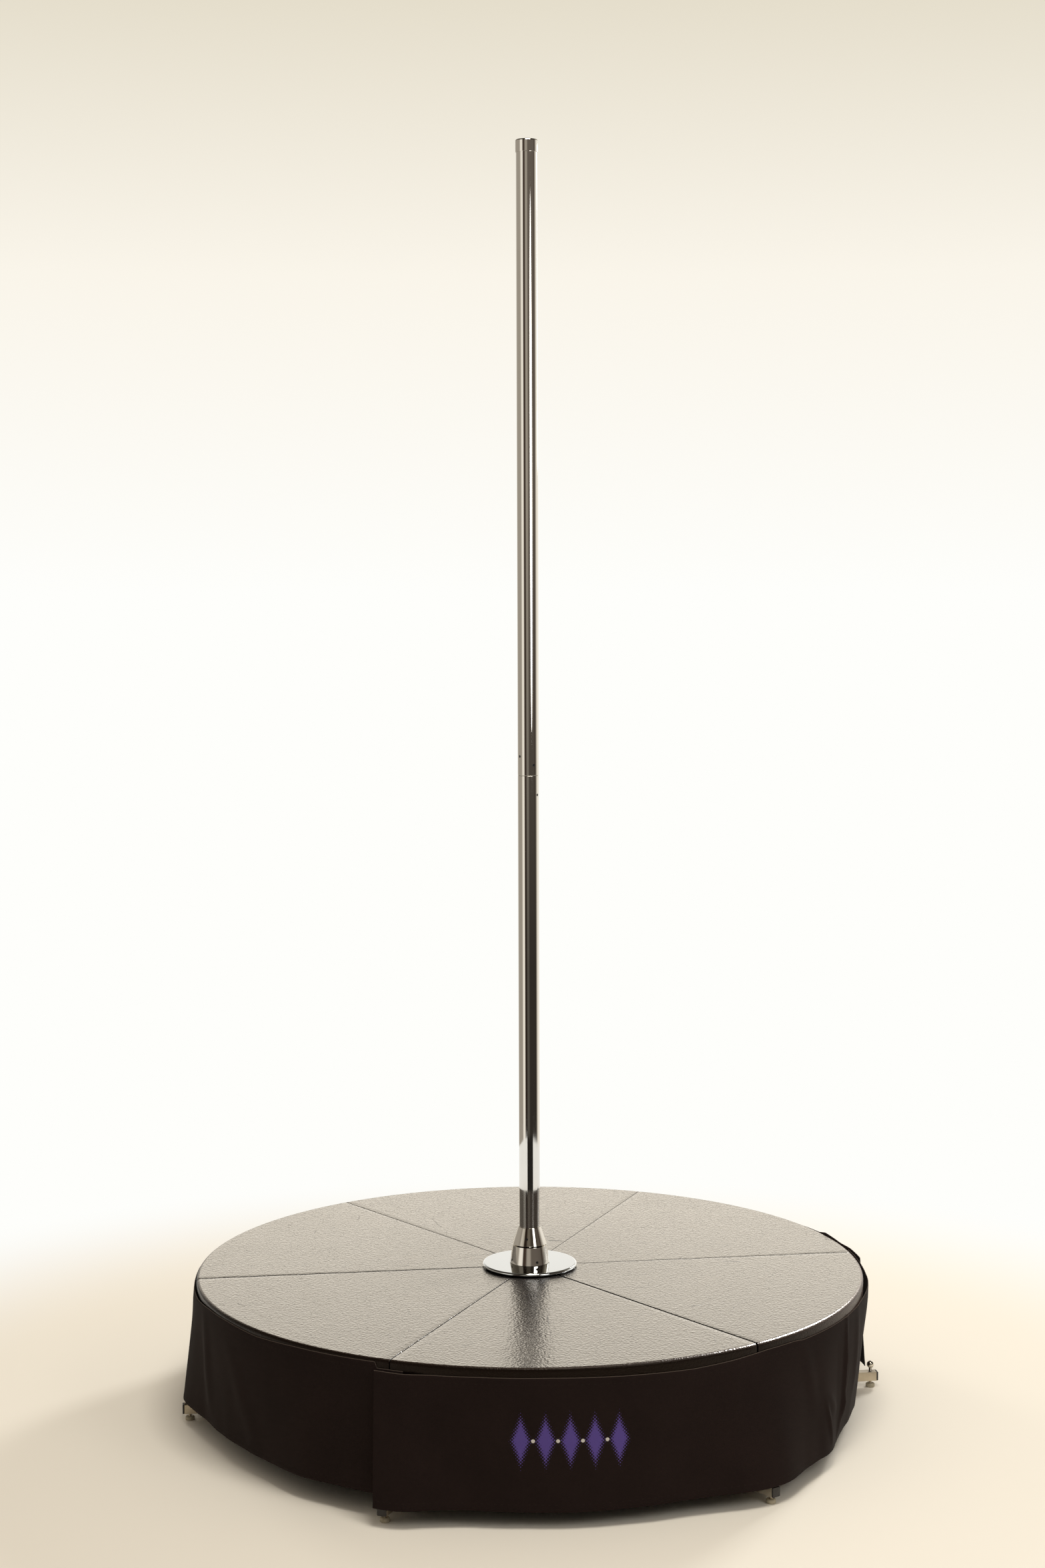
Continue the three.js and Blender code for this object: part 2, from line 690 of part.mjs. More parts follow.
// A cloth panel from one leg to the leg after next. Its first edge lies over the panel before it, and its last
// edge goes under the panel after it. Both faces are grids of points, closed by strips along the four edges.
function skirtPanel(panel) {
  const from = panel.first - skirtOverlapAngle / 2;
  const top = deckHeight - skirtTopDrop;
  const points = [];
  for (const outside of [0, skirtThickness]) {
    for (let column = 0; column <= skirtColumns; column += 1) {
      const turn = from + column * skirtColumnAngle;
      const lift = skirtOverlapLift * (1 - smoothStep((turn - from - skirtOverlapAngle) / skirtOverlapAngle));
      const droop = (skirtHemDroop * (1 - Math.cos(degrees(turn) * legCount))) / 2;
      const hem = railTop + skirtHemGap + panel.lift - droop;
      for (let row = 0; row <= skirtRows; row += 1) {
        const down = row / skirtRows;
        const radius = skirtRadius(panel, turn, down) + lift + outside;
        const angle = degrees(turn);
        points.push(radius * Math.cos(angle), radius * Math.sin(angle), top + (hem - top) * down);
      }
    }
  }
  const stride = skirtRows + 1;
  const layer = (skirtColumns + 1) * stride;
  const at = (side, column, row) => side * layer + column * stride + row;
  const faces = [];
  const quad = (a, b, c, d) => faces.push(a, b, c, a, c, d);
  for (let c = 0; c < skirtColumns; c += 1) {
    for (let r = 0; r < skirtRows; r += 1) {
      quad(at(1, c, r), at(1, c, r + 1), at(1, c + 1, r + 1), at(1, c + 1, r));
      quad(at(0, c, r), at(0, c + 1, r), at(0, c + 1, r + 1), at(0, c, r + 1));
    }
    quad(at(0, c, 0), at(1, c, 0), at(1, c + 1, 0), at(0, c + 1, 0));
    quad(at(0, c, skirtRows), at(0, c + 1, skirtRows), at(1, c + 1, skirtRows), at(1, c, skirtRows));
  }
  for (let r = 0; r < skirtRows; r += 1) {
    quad(at(0, 0, r), at(0, 0, r + 1), at(1, 0, r + 1), at(1, 0, r));
    const last = skirtColumns;
    quad(at(0, last, r), at(1, last, r), at(1, last, r + 1), at(0, last, r + 1));
  }
  const sheet = new THREE.BufferGeometry();
  sheet.setAttribute("position", new THREE.BufferAttribute(new Float32Array(points), 3));
  sheet.setIndex(faces);
  return geometryOf(solidOf(sheet));
}

function poleGroup() {
  const group = new THREE.Group();
  group.add(
    piece("lower_tube", poleTube(lowerTubeHeight), chrome),
    piece("upper_tube", poleTube(jointHeight + seatGap), chrome),
    piece("tube_joiner", tubeJoiner(), brightSteel),
    piece("top_cap", topCap(), chrome),
    piece("spin_collar", spinCollar(), chrome),
    piece("collar_screw", collarScrew(), darkSteel),
    piece("pole_plug", polePlug(), brightSteel),
    piece("stub_circlip", stubCirclip(), darkSteel),
    piece("upper_bearing_inner", bearingRing(upperBearing, upperBearingHeight, true), bearingSteel),
    piece("lower_bearing_inner", bearingRing(lowerBearing, lowerBearingHeight, true), bearingSteel),
  );
  joinerScrews.forEach(({ height, turn }, k) => {
    const screw = grubScrew(joinerRadius - joinerWall, poleRadius - joinerScrewRecess, height, turn);
    group.add(piece(`joiner_screw_${k + 1}`, screw, darkSteel));
  });
  return group;
}

function hubGroup() {
  const group = new THREE.Group();
  group.add(
    piece("hub_base_plate", hubBasePlate(), paintedSteel),
    piece("hub_column", hubColumn(), paintedSteel),
    piece("hub_top_plate", hubTopPlate(), paintedSteel),
    piece("bearing_spacer", bearingSpacer(), brightSteel),
    piece("upper_bearing_outer", bearingRing(upperBearing, upperBearingHeight, false), bearingSteel),
    piece("upper_bearing_balls", bearingBalls(upperBearing, upperBearingHeight), bearingSteel),
    piece("lower_bearing_outer", bearingRing(lowerBearing, lowerBearingHeight, false), bearingSteel),
    piece("lower_bearing_balls", bearingBalls(lowerBearing, lowerBearingHeight), bearingSteel),
    piece("lower_cone", lowerCone(), chrome),
    piece("flange_plate", flangePlate(), chrome),
    piece("flange_gasket", flangeGasket(), blackRubber),
  );
  lockScrewTurns.forEach((turn, k) => group.add(piece(`lock_screw_${k + 1}`, lockScrew(turn), darkSteel)));
  return group;
}

// Leg 1 lies along +X and the others follow it round, each with its own cap, screw and pad. The legs are alike,
// and each stands a little further out on the hub the nearer it is to leg 1.
function legGroup() {
  const group = new THREE.Group();
  const parts = { frame: legFrame(), cap: endCap(), screw: footScrew(), pad: footPad() };
  for (let k = 0; k < legCount; k += 1) {
    const turn = (2 * Math.PI * k) / legCount;
    const leg = new THREE.Group();
    leg.rotation.z = turn;
    leg.add(
      piece(`leg_frame_${k + 1}`, parts.frame, brightSteel),
      piece(`end_cap_${k + 1}`, parts.cap, blackPlastic),
      piece(`foot_screw_${k + 1}`, parts.screw, chrome),
      piece(`foot_pad_${k + 1}`, parts.pad, padPlastic),
    );
    for (const mesh of leg.children) mesh.position.x = (legPullOut * (1 + Math.cos(turn))) / 2;
    group.add(leg);
  }
  return group;
}

// Panel 1 lies between legs 1 and 2, and the others follow it round.
function deckGroup() {
  const group = new THREE.Group();
  const wedge = deckPanel(deckRing());
  for (let k = 0; k < legCount; k += 1) {
    const panel = piece(`deck_panel_${k + 1}`, wedge, deckBoard);
    panel.rotation.z = (2 * Math.PI * k) / legCount;
    group.add(panel);
  }
  return group;
}

function skirtGroup() {
  const group = new THREE.Group();
  for (const panel of skirtPanels) group.add(piece(panel.name, skirtPanel(panel), skirtCloth));
  return group;
}

const dancePole = new THREE.Group();
dancePole.add(poleGroup(), hubGroup(), legGroup(), deckGroup(), skirtGroup());

export default dancePole;
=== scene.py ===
"""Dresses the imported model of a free-standing dance pole on a round stage and sets up its photograph.

The chromed pole, its cones and its flange plate, the six deck panels, the cloth skirt and the feet are new
smooth surfaces in the places of their plain CAD solids. Sizes are in millimetres in the classes and in
metres in the meshes.
"""

import json
import logging
import math
from dataclasses import dataclass
from enum import Enum
from functools import partial
from typing import Callable, Iterable, Sequence

import bmesh
import bpy
import numpy as np
from mathutils import Matrix, Vector

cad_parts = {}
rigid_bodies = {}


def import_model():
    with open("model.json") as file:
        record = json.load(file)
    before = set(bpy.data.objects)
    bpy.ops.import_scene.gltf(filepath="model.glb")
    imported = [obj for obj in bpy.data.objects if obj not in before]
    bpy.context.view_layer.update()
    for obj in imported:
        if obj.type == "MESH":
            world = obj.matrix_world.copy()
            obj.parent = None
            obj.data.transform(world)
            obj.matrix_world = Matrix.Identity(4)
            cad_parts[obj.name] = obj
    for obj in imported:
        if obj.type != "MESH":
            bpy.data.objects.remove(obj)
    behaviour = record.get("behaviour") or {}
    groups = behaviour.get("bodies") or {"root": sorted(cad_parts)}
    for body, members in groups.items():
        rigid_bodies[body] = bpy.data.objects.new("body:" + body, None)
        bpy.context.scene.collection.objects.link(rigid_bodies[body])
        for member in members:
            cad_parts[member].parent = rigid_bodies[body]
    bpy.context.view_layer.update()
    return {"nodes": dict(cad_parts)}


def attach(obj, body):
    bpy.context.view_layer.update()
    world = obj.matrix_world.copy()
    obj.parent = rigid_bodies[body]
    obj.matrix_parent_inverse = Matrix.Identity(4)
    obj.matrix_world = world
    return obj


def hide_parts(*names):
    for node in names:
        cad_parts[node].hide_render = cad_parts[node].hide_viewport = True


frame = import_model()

MM = 0.001
WELD = 2e-6  # metres within which two points of a mesh are one
SMOOTH_ANGLE = 32.0  # degrees between two faces, below which their shading runs on
ROUND = 2 * math.pi
QUARTER = np.linspace(0, math.pi / 2, 5)  # angles along the quarter circle of a rounded edge
LEGS = 6  # as many as deck panels

Corner = tuple[float, float, float]  # an outline's corner: x, y and the radius of its rounding
Radius = Callable[[np.ndarray], np.ndarray]  # a turned wall's radius at a height
Socket = bpy.types.NodeSocket
Add = Callable[..., Socket]  # add_node() for one tree of nodes

log = logging.getLogger("dance_pole")


# Meshes


def rounded(corners: Sequence[Corner], steps: int = 5, support: float = 0.3) -> np.ndarray:
    """The corners of an outline, each rounded by an arc.

    The arc of radius r touches both sides at r / tan(half the corner's angle) from the corner. One more
    point stands a little way along each side, so that a smoothly shaded edge doesn't darken the flat face
    beside it.

    Args:
        corners: The corners in order. A radius of 0 keeps the corner sharp.
        steps: How many chords make up each arc.
        support: How far the extra point stands from the arc's end.

    Returns:
        The outline's points, an array of shape (n, 2).
    """
    place = np.array([corner[:2] for corner in corners], float)
    points = []
    for i, (_, _, radius) in enumerate(corners):
        here = place[i]
        if radius <= 0:
            points.append(here[None])
            continue
        to_last = place[i - 1] - here
        to_next = place[(i + 1) % len(place)] - here
        to_last /= np.linalg.norm(to_last)
        to_next /= np.linalg.norm(to_next)
        half = math.acos(np.clip(to_last @ to_next, -1, 1)) / 2
        reach = radius / math.tan(half)
        middle = (to_last + to_next) / np.linalg.norm(to_last + to_next)
        centre = here + middle * radius / math.sin(half)
        start, end = here + to_last * reach - centre, here + to_next * reach - centre
        first = math.atan2(start[1], start[0])
        sweep = (math.atan2(end[1], end[0]) - first + math.pi) % ROUND - math.pi
        turn = first + sweep * np.linspace(0, 1, steps + 1)
        arc = centre + radius * np.stack([np.cos(turn), np.sin(turn)], -1)
        points += [(arc[0] + to_last * support)[None], arc, (arc[-1] + to_next * support)[None]]
    return np.concatenate(points)


def closed(profile: np.ndarray) -> np.ndarray:
    """The profile with its first point again at its end."""
    return np.concatenate([profile, profile[:1]])


def revolved(profile: np.ndarray, segments: int, centre: tuple[float, float] = (0.0, 0.0)) -> np.ndarray:
    """A profile carried round a vertical axis: x = r cos t, y = r sin t, z = height.

    Args:
        profile: Points of (radius, height), an array of shape (n, 2).
        segments: Steps of the whole turn.
        centre: The axis in x and y.

    Returns:
        The points, an array of shape (segments + 1, n, 3).
    """
    turn = np.linspace(0, ROUND, segments + 1)[:, None]
    radius, height = profile[:, 0][None], profile[:, 1][None]
    x, y = centre[0] + radius * np.cos(turn), centre[1] + radius * np.sin(turn)
    return np.stack([x, y, height + 0 * turn], -1)


def turned(points: np.ndarray, degrees: float) -> np.ndarray:
    """Points turned about the vertical axis."""
    c, s = math.cos(math.radians(degrees)), math.sin(math.radians(degrees))
    return points @ np.array([[c, s, 0], [-s, c, 0], [0, 0, 1]])


def quads(rows: int, columns: int, keep: np.ndarray | None = None) -> np.ndarray:
    """The faces of a grid of points.

    Args:
        rows: Points along the first direction.
        columns: Points along the second direction.
        keep: Which cells to keep, an array of shape (rows - 1, columns - 1), or None for all.

    Returns:
        Corner indices, an array of shape (faces, 4).
    """
    corner = np.arange(rows * columns).reshape(rows, columns)
    cells = np.stack([corner[:-1, :-1], corner[1:, :-1], corner[1:, 1:], corner[:-1, 1:]], -1)
    return cells[keep] if keep is not None else cells.reshape(-1, 4)


def weld(mesh: bpy.types.Mesh, then: Callable[[bmesh.types.BMesh], object] | None = None) -> None:
    """Makes one point of the points that lie together.

    Args:
        mesh: The mesh.
        then: One more step on the welded mesh, or None.
    """
    work = bmesh.new()
    work.from_mesh(mesh)
    bmesh.ops.remove_doubles(work, verts=work.verts, dist=WELD)
    if then is not None:
        then(work)
    work.to_mesh(mesh)
    work.free()


def add_object(name: str, data: bpy.types.ID) -> bpy.types.Object:
    """Adds an object to the scene, at the origin.

    Args:
        name: Its name.
        data: Its mesh, camera or lamp.

    Returns:
        The object.
    """
    made = bpy.data.objects.new(name, data)
    bpy.context.scene.collection.objects.link(made)
    return made


class Shell:
    """Grids and flat faces that together close one piece, in millimetres."""

    def __init__(self) -> None:
        """Starts with nothing."""
        self.points: list[np.ndarray] = []
        self.faces: list[Sequence[int]] = []
        self.plans: list[np.ndarray] = []
        self.count = 0

    def grid(self, points: np.ndarray, keep: np.ndarray | None = None,
             plan: np.ndarray | None = None) -> "Shell":
        """Adds a grid of points.

        Args:
            points: An array of shape (rows, columns, 3).
            keep: Which cells to keep, as in quads().
            plan: The piece's flat pattern at those points, an array of shape (rows, columns, 2), or None.

        Returns:
            This shell.
        """
        rows, columns = points.shape[:2]
        self.faces += (quads(rows, columns, keep) + self.count).tolist()
        self.points.append(points.reshape(-1, 3))
        self.plans.append(np.zeros((rows * columns, 2)) if plan is None else plan.reshape(-1, 2))
        self.count += rows * columns
        return self

    def lid(self, loop: np.ndarray) -> "Shell":
        """Adds one flat face.

        Args:
            loop: The points round it, an array of shape (n, 3).

        Returns:
            This shell.
        """
        self.faces.append(list(range(self.count, self.count + len(loop))))
        self.points.append(loop)
        self.plans.append(np.zeros((len(loop), 2)))
        self.count += len(loop)
        return self

    def piece(self, name: str, finish: "Finish", with_plan: bool = False) -> bpy.types.Object:
        """Makes the object: its points are welded where grids meet, and its faces turned outwards.

        Args:
            name: The piece's name.
            finish: What it is made of.
            with_plan: Whether the flat pattern becomes its UV map, in metres.

        Returns:
            The object, at the origin, with its place in its mesh.
        """
        mesh = bpy.data.meshes.new(name)
        mesh.from_pydata((np.concatenate(self.points) * MM).tolist(), [], self.faces)
        if with_plan:
            layer = mesh.uv_layers.new(name="cloth_plan")
            corner = np.zeros(len(mesh.loops), int)
            mesh.loops.foreach_get("vertex_index", corner)
            plan = np.concatenate(self.plans)[corner] * MM
            layer.data.foreach_set("uv", plan.astype(np.float32).ravel())
        weld(mesh, lambda work: bmesh.ops.recalc_face_normals(work, faces=work.faces))
        mesh.polygons.foreach_set("use_smooth", np.ones(len(mesh.polygons), bool))
        mesh.set_sharp_from_angle(angle=math.radians(SMOOTH_ANGLE))
        mesh.materials.append(finish.material())
        return add_object(name, mesh)


@dataclass(frozen=True)
class Hole:
    """A round hole through a turned wall, square to the axis."""

    turn: float  # degrees round the axis
    height: float
    radius: float = 3.3


def spaced(low: float, high: float, holes: Iterable[Hole], cell: float = 1.4, reach: float = 5.2,
           support: float = 0.4) -> np.ndarray:
    """The heights of a drilled wall's rows of points.

    Args:
        low: The lowest height.
        high: The highest height.
        holes: The wall's holes, each of which gets close rows across it.
        cell: The widest step between those rows.
        reach: How far they go above and below a hole's middle.
        support: How far one more row stands from each end.

    Returns:
        The heights in order.
    """
    rows = [np.array([low, low + support, high - support, high])]
    for hole in holes:
        rows.append(hole.height + np.linspace(-reach, reach, 2 * math.ceil(reach / cell) + 1))
    heights = np.unique(np.round(np.concatenate(rows), 4))
    return heights[(heights >= low) & (heights <= high)]


@dataclass
class DrilledWall:
    """A turned wall with an outside, an inside and round holes through both.

    Each hole takes a block of the wall's grid cells away. Rings of points then run from the block's edge to
    the circle, where a point at angle a round the hole of radius q lies at the turn asin(q cos a / wall
    radius) and the height q sin a from the hole's centre, and the bore joins the circles of both sides.
    """

    outside: Radius
    inside: Radius
    heights: np.ndarray
    holes: Sequence[Hole] = ()
    columns: int = 96
    margin: float = 1.6  # from a hole's edge to the sides of its block
    end_share: float = 0.4  # of the margin, to the block's top and bottom
    ring_shares: tuple[float, ...] = (0.0, 0.45, 0.85, 1.0)  # of the way from the block's edge to the circle

    @staticmethod
    def lift(flat: np.ndarray, radius: Radius) -> np.ndarray:
        """Points on the wall: x = r cos t, y = r sin t, where r is the wall's radius at the height.

        Args:
            flat: Points of (turn in radians, height).
            radius: The wall's radius.

        Returns:
            The points, of the same shape but with 3 at the end.
        """
        turn, height = flat[..., 0], flat[..., 1]
        out = radius(height)
        return np.stack([out * np.cos(turn), out * np.sin(turn), height], -1)

    @staticmethod
    def border(across: np.ndarray, up: np.ndarray) -> np.ndarray:
        """The points round a block of cells, once round and back to the first.

        Args:
            across: The turns of its columns.
            up: The heights of its rows.

        Returns:
            The points of (turn, height).
        """
        sides = [(across, up[0]), (across[-1], up), (across[::-1], up[-1]), (across[0], up[::-1])]
        lines = [np.stack(np.broadcast_arrays(*side), -1) for side in sides]
        return np.concatenate([lines[0]] + [line[1:] for line in lines[1:]])

    def side(self, shell: Shell, radius: Radius) -> list[np.ndarray]:
        """Adds one side of the wall.

        Args:
            shell: Where it is added.
            radius: That side's radius.

        Returns:
            The circle of each hole in it.
        """
        step = ROUND / self.columns
        turn = np.arange(self.columns + 1) * step
        keep = np.ones((self.columns, len(self.heights) - 1), bool)
        shares = np.array(self.ring_shares)[:, None, None]
        circles = []
        for hole in self.holes:
            centre = math.radians(hole.turn) % ROUND
            wall = float(self.outside(np.array(hole.height)))
            half = (hole.radius + self.margin) / wall
            rise = hole.radius + self.margin * self.end_share
            first, last = math.floor((centre - half) / step), math.ceil((centre + half) / step)
            low = np.searchsorted(self.heights, hole.height - rise) - 1
            high = np.searchsorted(self.heights, hole.height + rise)
            keep[first:last, low:high] = False
            edge = self.border(turn[first:last + 1], self.heights[low:high + 1])
            angle = np.arctan2(edge[:, 1] - hole.height, (edge[:, 0] - centre) * wall)
            level = hole.height + hole.radius * np.sin(angle)
            circle = np.stack([centre + np.arcsin(hole.radius * np.cos(angle) / radius(level)), level], -1)
            shell.grid(self.lift(edge * (1 - shares) + circle * shares, radius))
            circles.append(self.lift(circle, radius))
        shell.grid(self.lift(np.stack(np.meshgrid(turn, self.heights, indexing="ij"), -1), radius), keep)
        return circles

    def shell(self, top: np.ndarray, bottom: np.ndarray) -> Shell:
        """Closes the wall.

        Args:
            top: Profile points from the outside's upper edge to the inside's.
            bottom: Profile points from the inside's lower edge to the outside's.

        Returns:
            The closed shell.
        """
        shell = Shell()
        outer, inner = self.side(shell, self.outside), self.side(shell, self.inside)
        for there, here in zip(outer, inner):
            shell.grid(np.stack([there, here]))
        for profile in (top, bottom):
            shell.grid(revolved(profile, self.columns))
        return shell


# Finishes


def linear(code: str) -> tuple[float, float, float, float]:
    """An sRGB hex colour as the linear values that a shader takes.

    Args:
        code: The colour, a # and six hex digits.

    Returns:
        Red, green, blue and full opacity.
    """
    srgb = np.array([int(code[i:i + 2], 16) for i in (1, 3, 5)]) / 255
    light = np.where(srgb <= 0.04045, srgb / 12.92, ((srgb + 0.055) / 1.055) ** 2.4)
    return (*light.tolist(), 1.0)


def per_mm(size: float) -> float:
    """The scale at which a texture's cells are this many millimetres wide, on coordinates in metres."""
    return 1 / (size * MM)


def fill(node: bpy.types.Node, inputs: dict) -> None:
    """Sets a node's inputs.

    Args:
        node: The node.
        inputs: Socket name or number to a value, or to another node's output, which is linked.
    """
    for socket, value in inputs.items():
        if isinstance(value, Socket):
            node.id_data.links.new(value, node.inputs[socket])
        else:
            node.inputs[socket].default_value = value


def add_node(tree: bpy.types.NodeTree, kind: str, inputs: dict, output: int | str = 0,
             stops: Sequence[tuple[float, str]] = (), **settings: object) -> Socket:
    """Adds a shader node.

    Args:
        tree: The material's or world's nodes.
        kind: The node's type, without the ShaderNode that each type's name starts with.
        inputs: What its inputs get, as in fill().
        output: Name or number of the output that is wanted.
        stops: A colour ramp's places and hex colours.
        settings: The node's own properties.

    Returns:
        The output.
    """
    node = tree.nodes.new("ShaderNode" + kind)
    for name, value in settings.items():
        setattr(node, name, value)
    if stops:
        elements = node.color_ramp.elements
        while len(elements) < len(stops):
            elements.new(1.0)
        for element, (place, code) in zip(elements, stops):
            element.position = place
            element.color = linear(code)
    fill(node, inputs)
    return node.outputs[output]


@dataclass(frozen=True)
class Finish:
    """What a surface is made of. Each finish makes its material once."""

    label: str
    colour: str
    roughness: float
    metallic: float = 0.0

    def material(self) -> bpy.types.Material:
        """The material, which the first call makes.

        Returns:
            The material.
        """
        made = bpy.data.materials.get(self.label)
        if made is None:
            made = bpy.data.materials.new(self.label)
            made.use_nodes = True
            made.diffuse_color = linear(self.colour)
            shader = made.node_tree.nodes["Principled BSDF"]
            fill(shader, {"Base Color": linear(self.colour), "Roughness": self.roughness,
                          "Metallic": self.metallic})
            fill(shader, self.pattern(partial(add_node, made.node_tree)))
        return made

    def pattern(self, add: Add) -> dict:
        """What the finish's own pattern sets on its shader.

        Args:
            add: Adds a node to the material.

        Returns:
            The shader's inputs, as in fill().
        """
        raise NotImplementedError

    @staticmethod
    def place(add: Add, stretch: Sequence[float] = (1, 1, 1), turn: float = 0.0) -> Socket:
        """Object coordinates turned about the vertical axis, then stretched.

        Args:
            add: Adds a node to the material.
            stretch: The factor along each axis.
            turn: Degrees from +X to the way that becomes the first axis.

        Returns:
            The coordinates.
        """
        where = add("TexCoord", {}, "Object")
        if turn:
            where = add("Mapping", {"Vector": where, "Rotation": (0, 0, -math.radians(turn))})
        return add("Mapping", {"Vector": where, "Scale": tuple(stretch)})


@dataclass(frozen=True)
class ChromePlate(Finish):
    """Chromium plate, polished steel or bright zinc plate: a mirror with faint hand marks."""

    smudge_size: float = 38.0
    smudge_depth: float = 0.05  # of roughness
    buff_size: float = 3.0
    buff_shares: tuple[float, ...] = (0.02, 0.02, 1.0)  # the rings run round the pole

    def pattern(self, add: Add) -> dict:
        """Hand marks dull patches of the mirror, and buffing leaves rings that show as a soft sheen.

        Args:
            add: Adds a node to the material.

        Returns:
            The shader's inputs, as in fill().
        """
        smudge = add("TexNoise", {
            "Vector": self.place(add), "Scale": per_mm(self.smudge_size), "Detail": 4.0})
        dulled = add("MapRange", {"Value": smudge, "From Min": 0.42, "From Max": 0.72,
                                  "To Min": self.roughness, "To Max": self.roughness + self.smudge_depth})
        ring = self.place(add, self.buff_shares)
        buff = add("TexNoise", {"Vector": ring, "Scale": per_mm(self.buff_size), "Detail": 2.0})
        return {"Roughness": dulled,
                "Normal": add("Bump", {"Height": buff, "Strength": 0.01, "Distance": 1e-5})}


@dataclass(frozen=True)
class SatinSteel(Finish):
    """Bright zinc-plated steel with a drawn grain: satin, slightly warm, cloudy where the plating varies."""

    turn: float = 0.0  # degrees from +X to the way that the grain runs
    grain_size: float = 0.9  # drawn coarser than the real 0.2 mm, so that it shows
    grain_shares: tuple[float, ...] = (0.03, 1.0, 1.0)
    grain_range: tuple[float, float] = (-0.08, 0.1)  # of roughness
    cloud_size: float = 60.0
    cloud_colour: str = "#BDB19C"

    def pattern(self, add: Add) -> dict:
        """The grain is noise stretched along the rail, and the plating's cloud shifts the colour.

        Args:
            add: Adds a node to the material.

        Returns:
            The shader's inputs, as in fill().
        """
        along = self.place(add, self.grain_shares, self.turn)
        grain = add("TexNoise", {"Vector": along, "Scale": per_mm(self.grain_size), "Detail": 3.0})
        cloud = add("TexNoise", {"Vector": self.place(add), "Scale": per_mm(self.cloud_size), "Detail": 3.0})
        low, high = self.grain_range
        return {
            "Base Color": add("ValToRGB", {"Fac": cloud},
                              stops=((0.3, self.cloud_colour), (0.7, self.colour))),
            "Roughness": add("MapRange", {
                "Value": grain, "To Min": self.roughness + low, "To Max": self.roughness + high}),
            "Normal": add("Bump", {"Height": grain, "Strength": 0.25, "Distance": 1e-4})}


@dataclass(frozen=True)
class SpeckledFinish(Finish):
    """A hard finish with a fine even texture: oxide, ground steel, powder coat, rubber or moulded plastic."""

    speck_size: float = 1.0
    bump: float = 0.15
    other_colour: str = "#202020"
    speck_range: tuple[float, float] = (-0.06, 0.08)  # of roughness

    def pattern(self, add: Add) -> dict:
        """Noise at the speck's size lifts the surface and shifts it between its two colours.

        Args:
            add: Adds a node to the material.

        Returns:
            The shader's inputs, as in fill().
        """
        speck = add("TexNoise", {"Vector": self.place(add), "Scale": per_mm(self.speck_size), "Detail": 3.0})
        low, high = self.speck_range
        return {
            "Base Color": add("ValToRGB", {"Fac": speck},
                              stops=((0.35, self.colour), (0.68, self.other_colour))),
            "Roughness": add("MapRange", {
                "Value": speck, "To Min": self.roughness + low, "To Max": self.roughness + high}),
            "Normal": add("Bump", {"Height": speck, "Strength": self.bump, "Distance": 2e-4})}


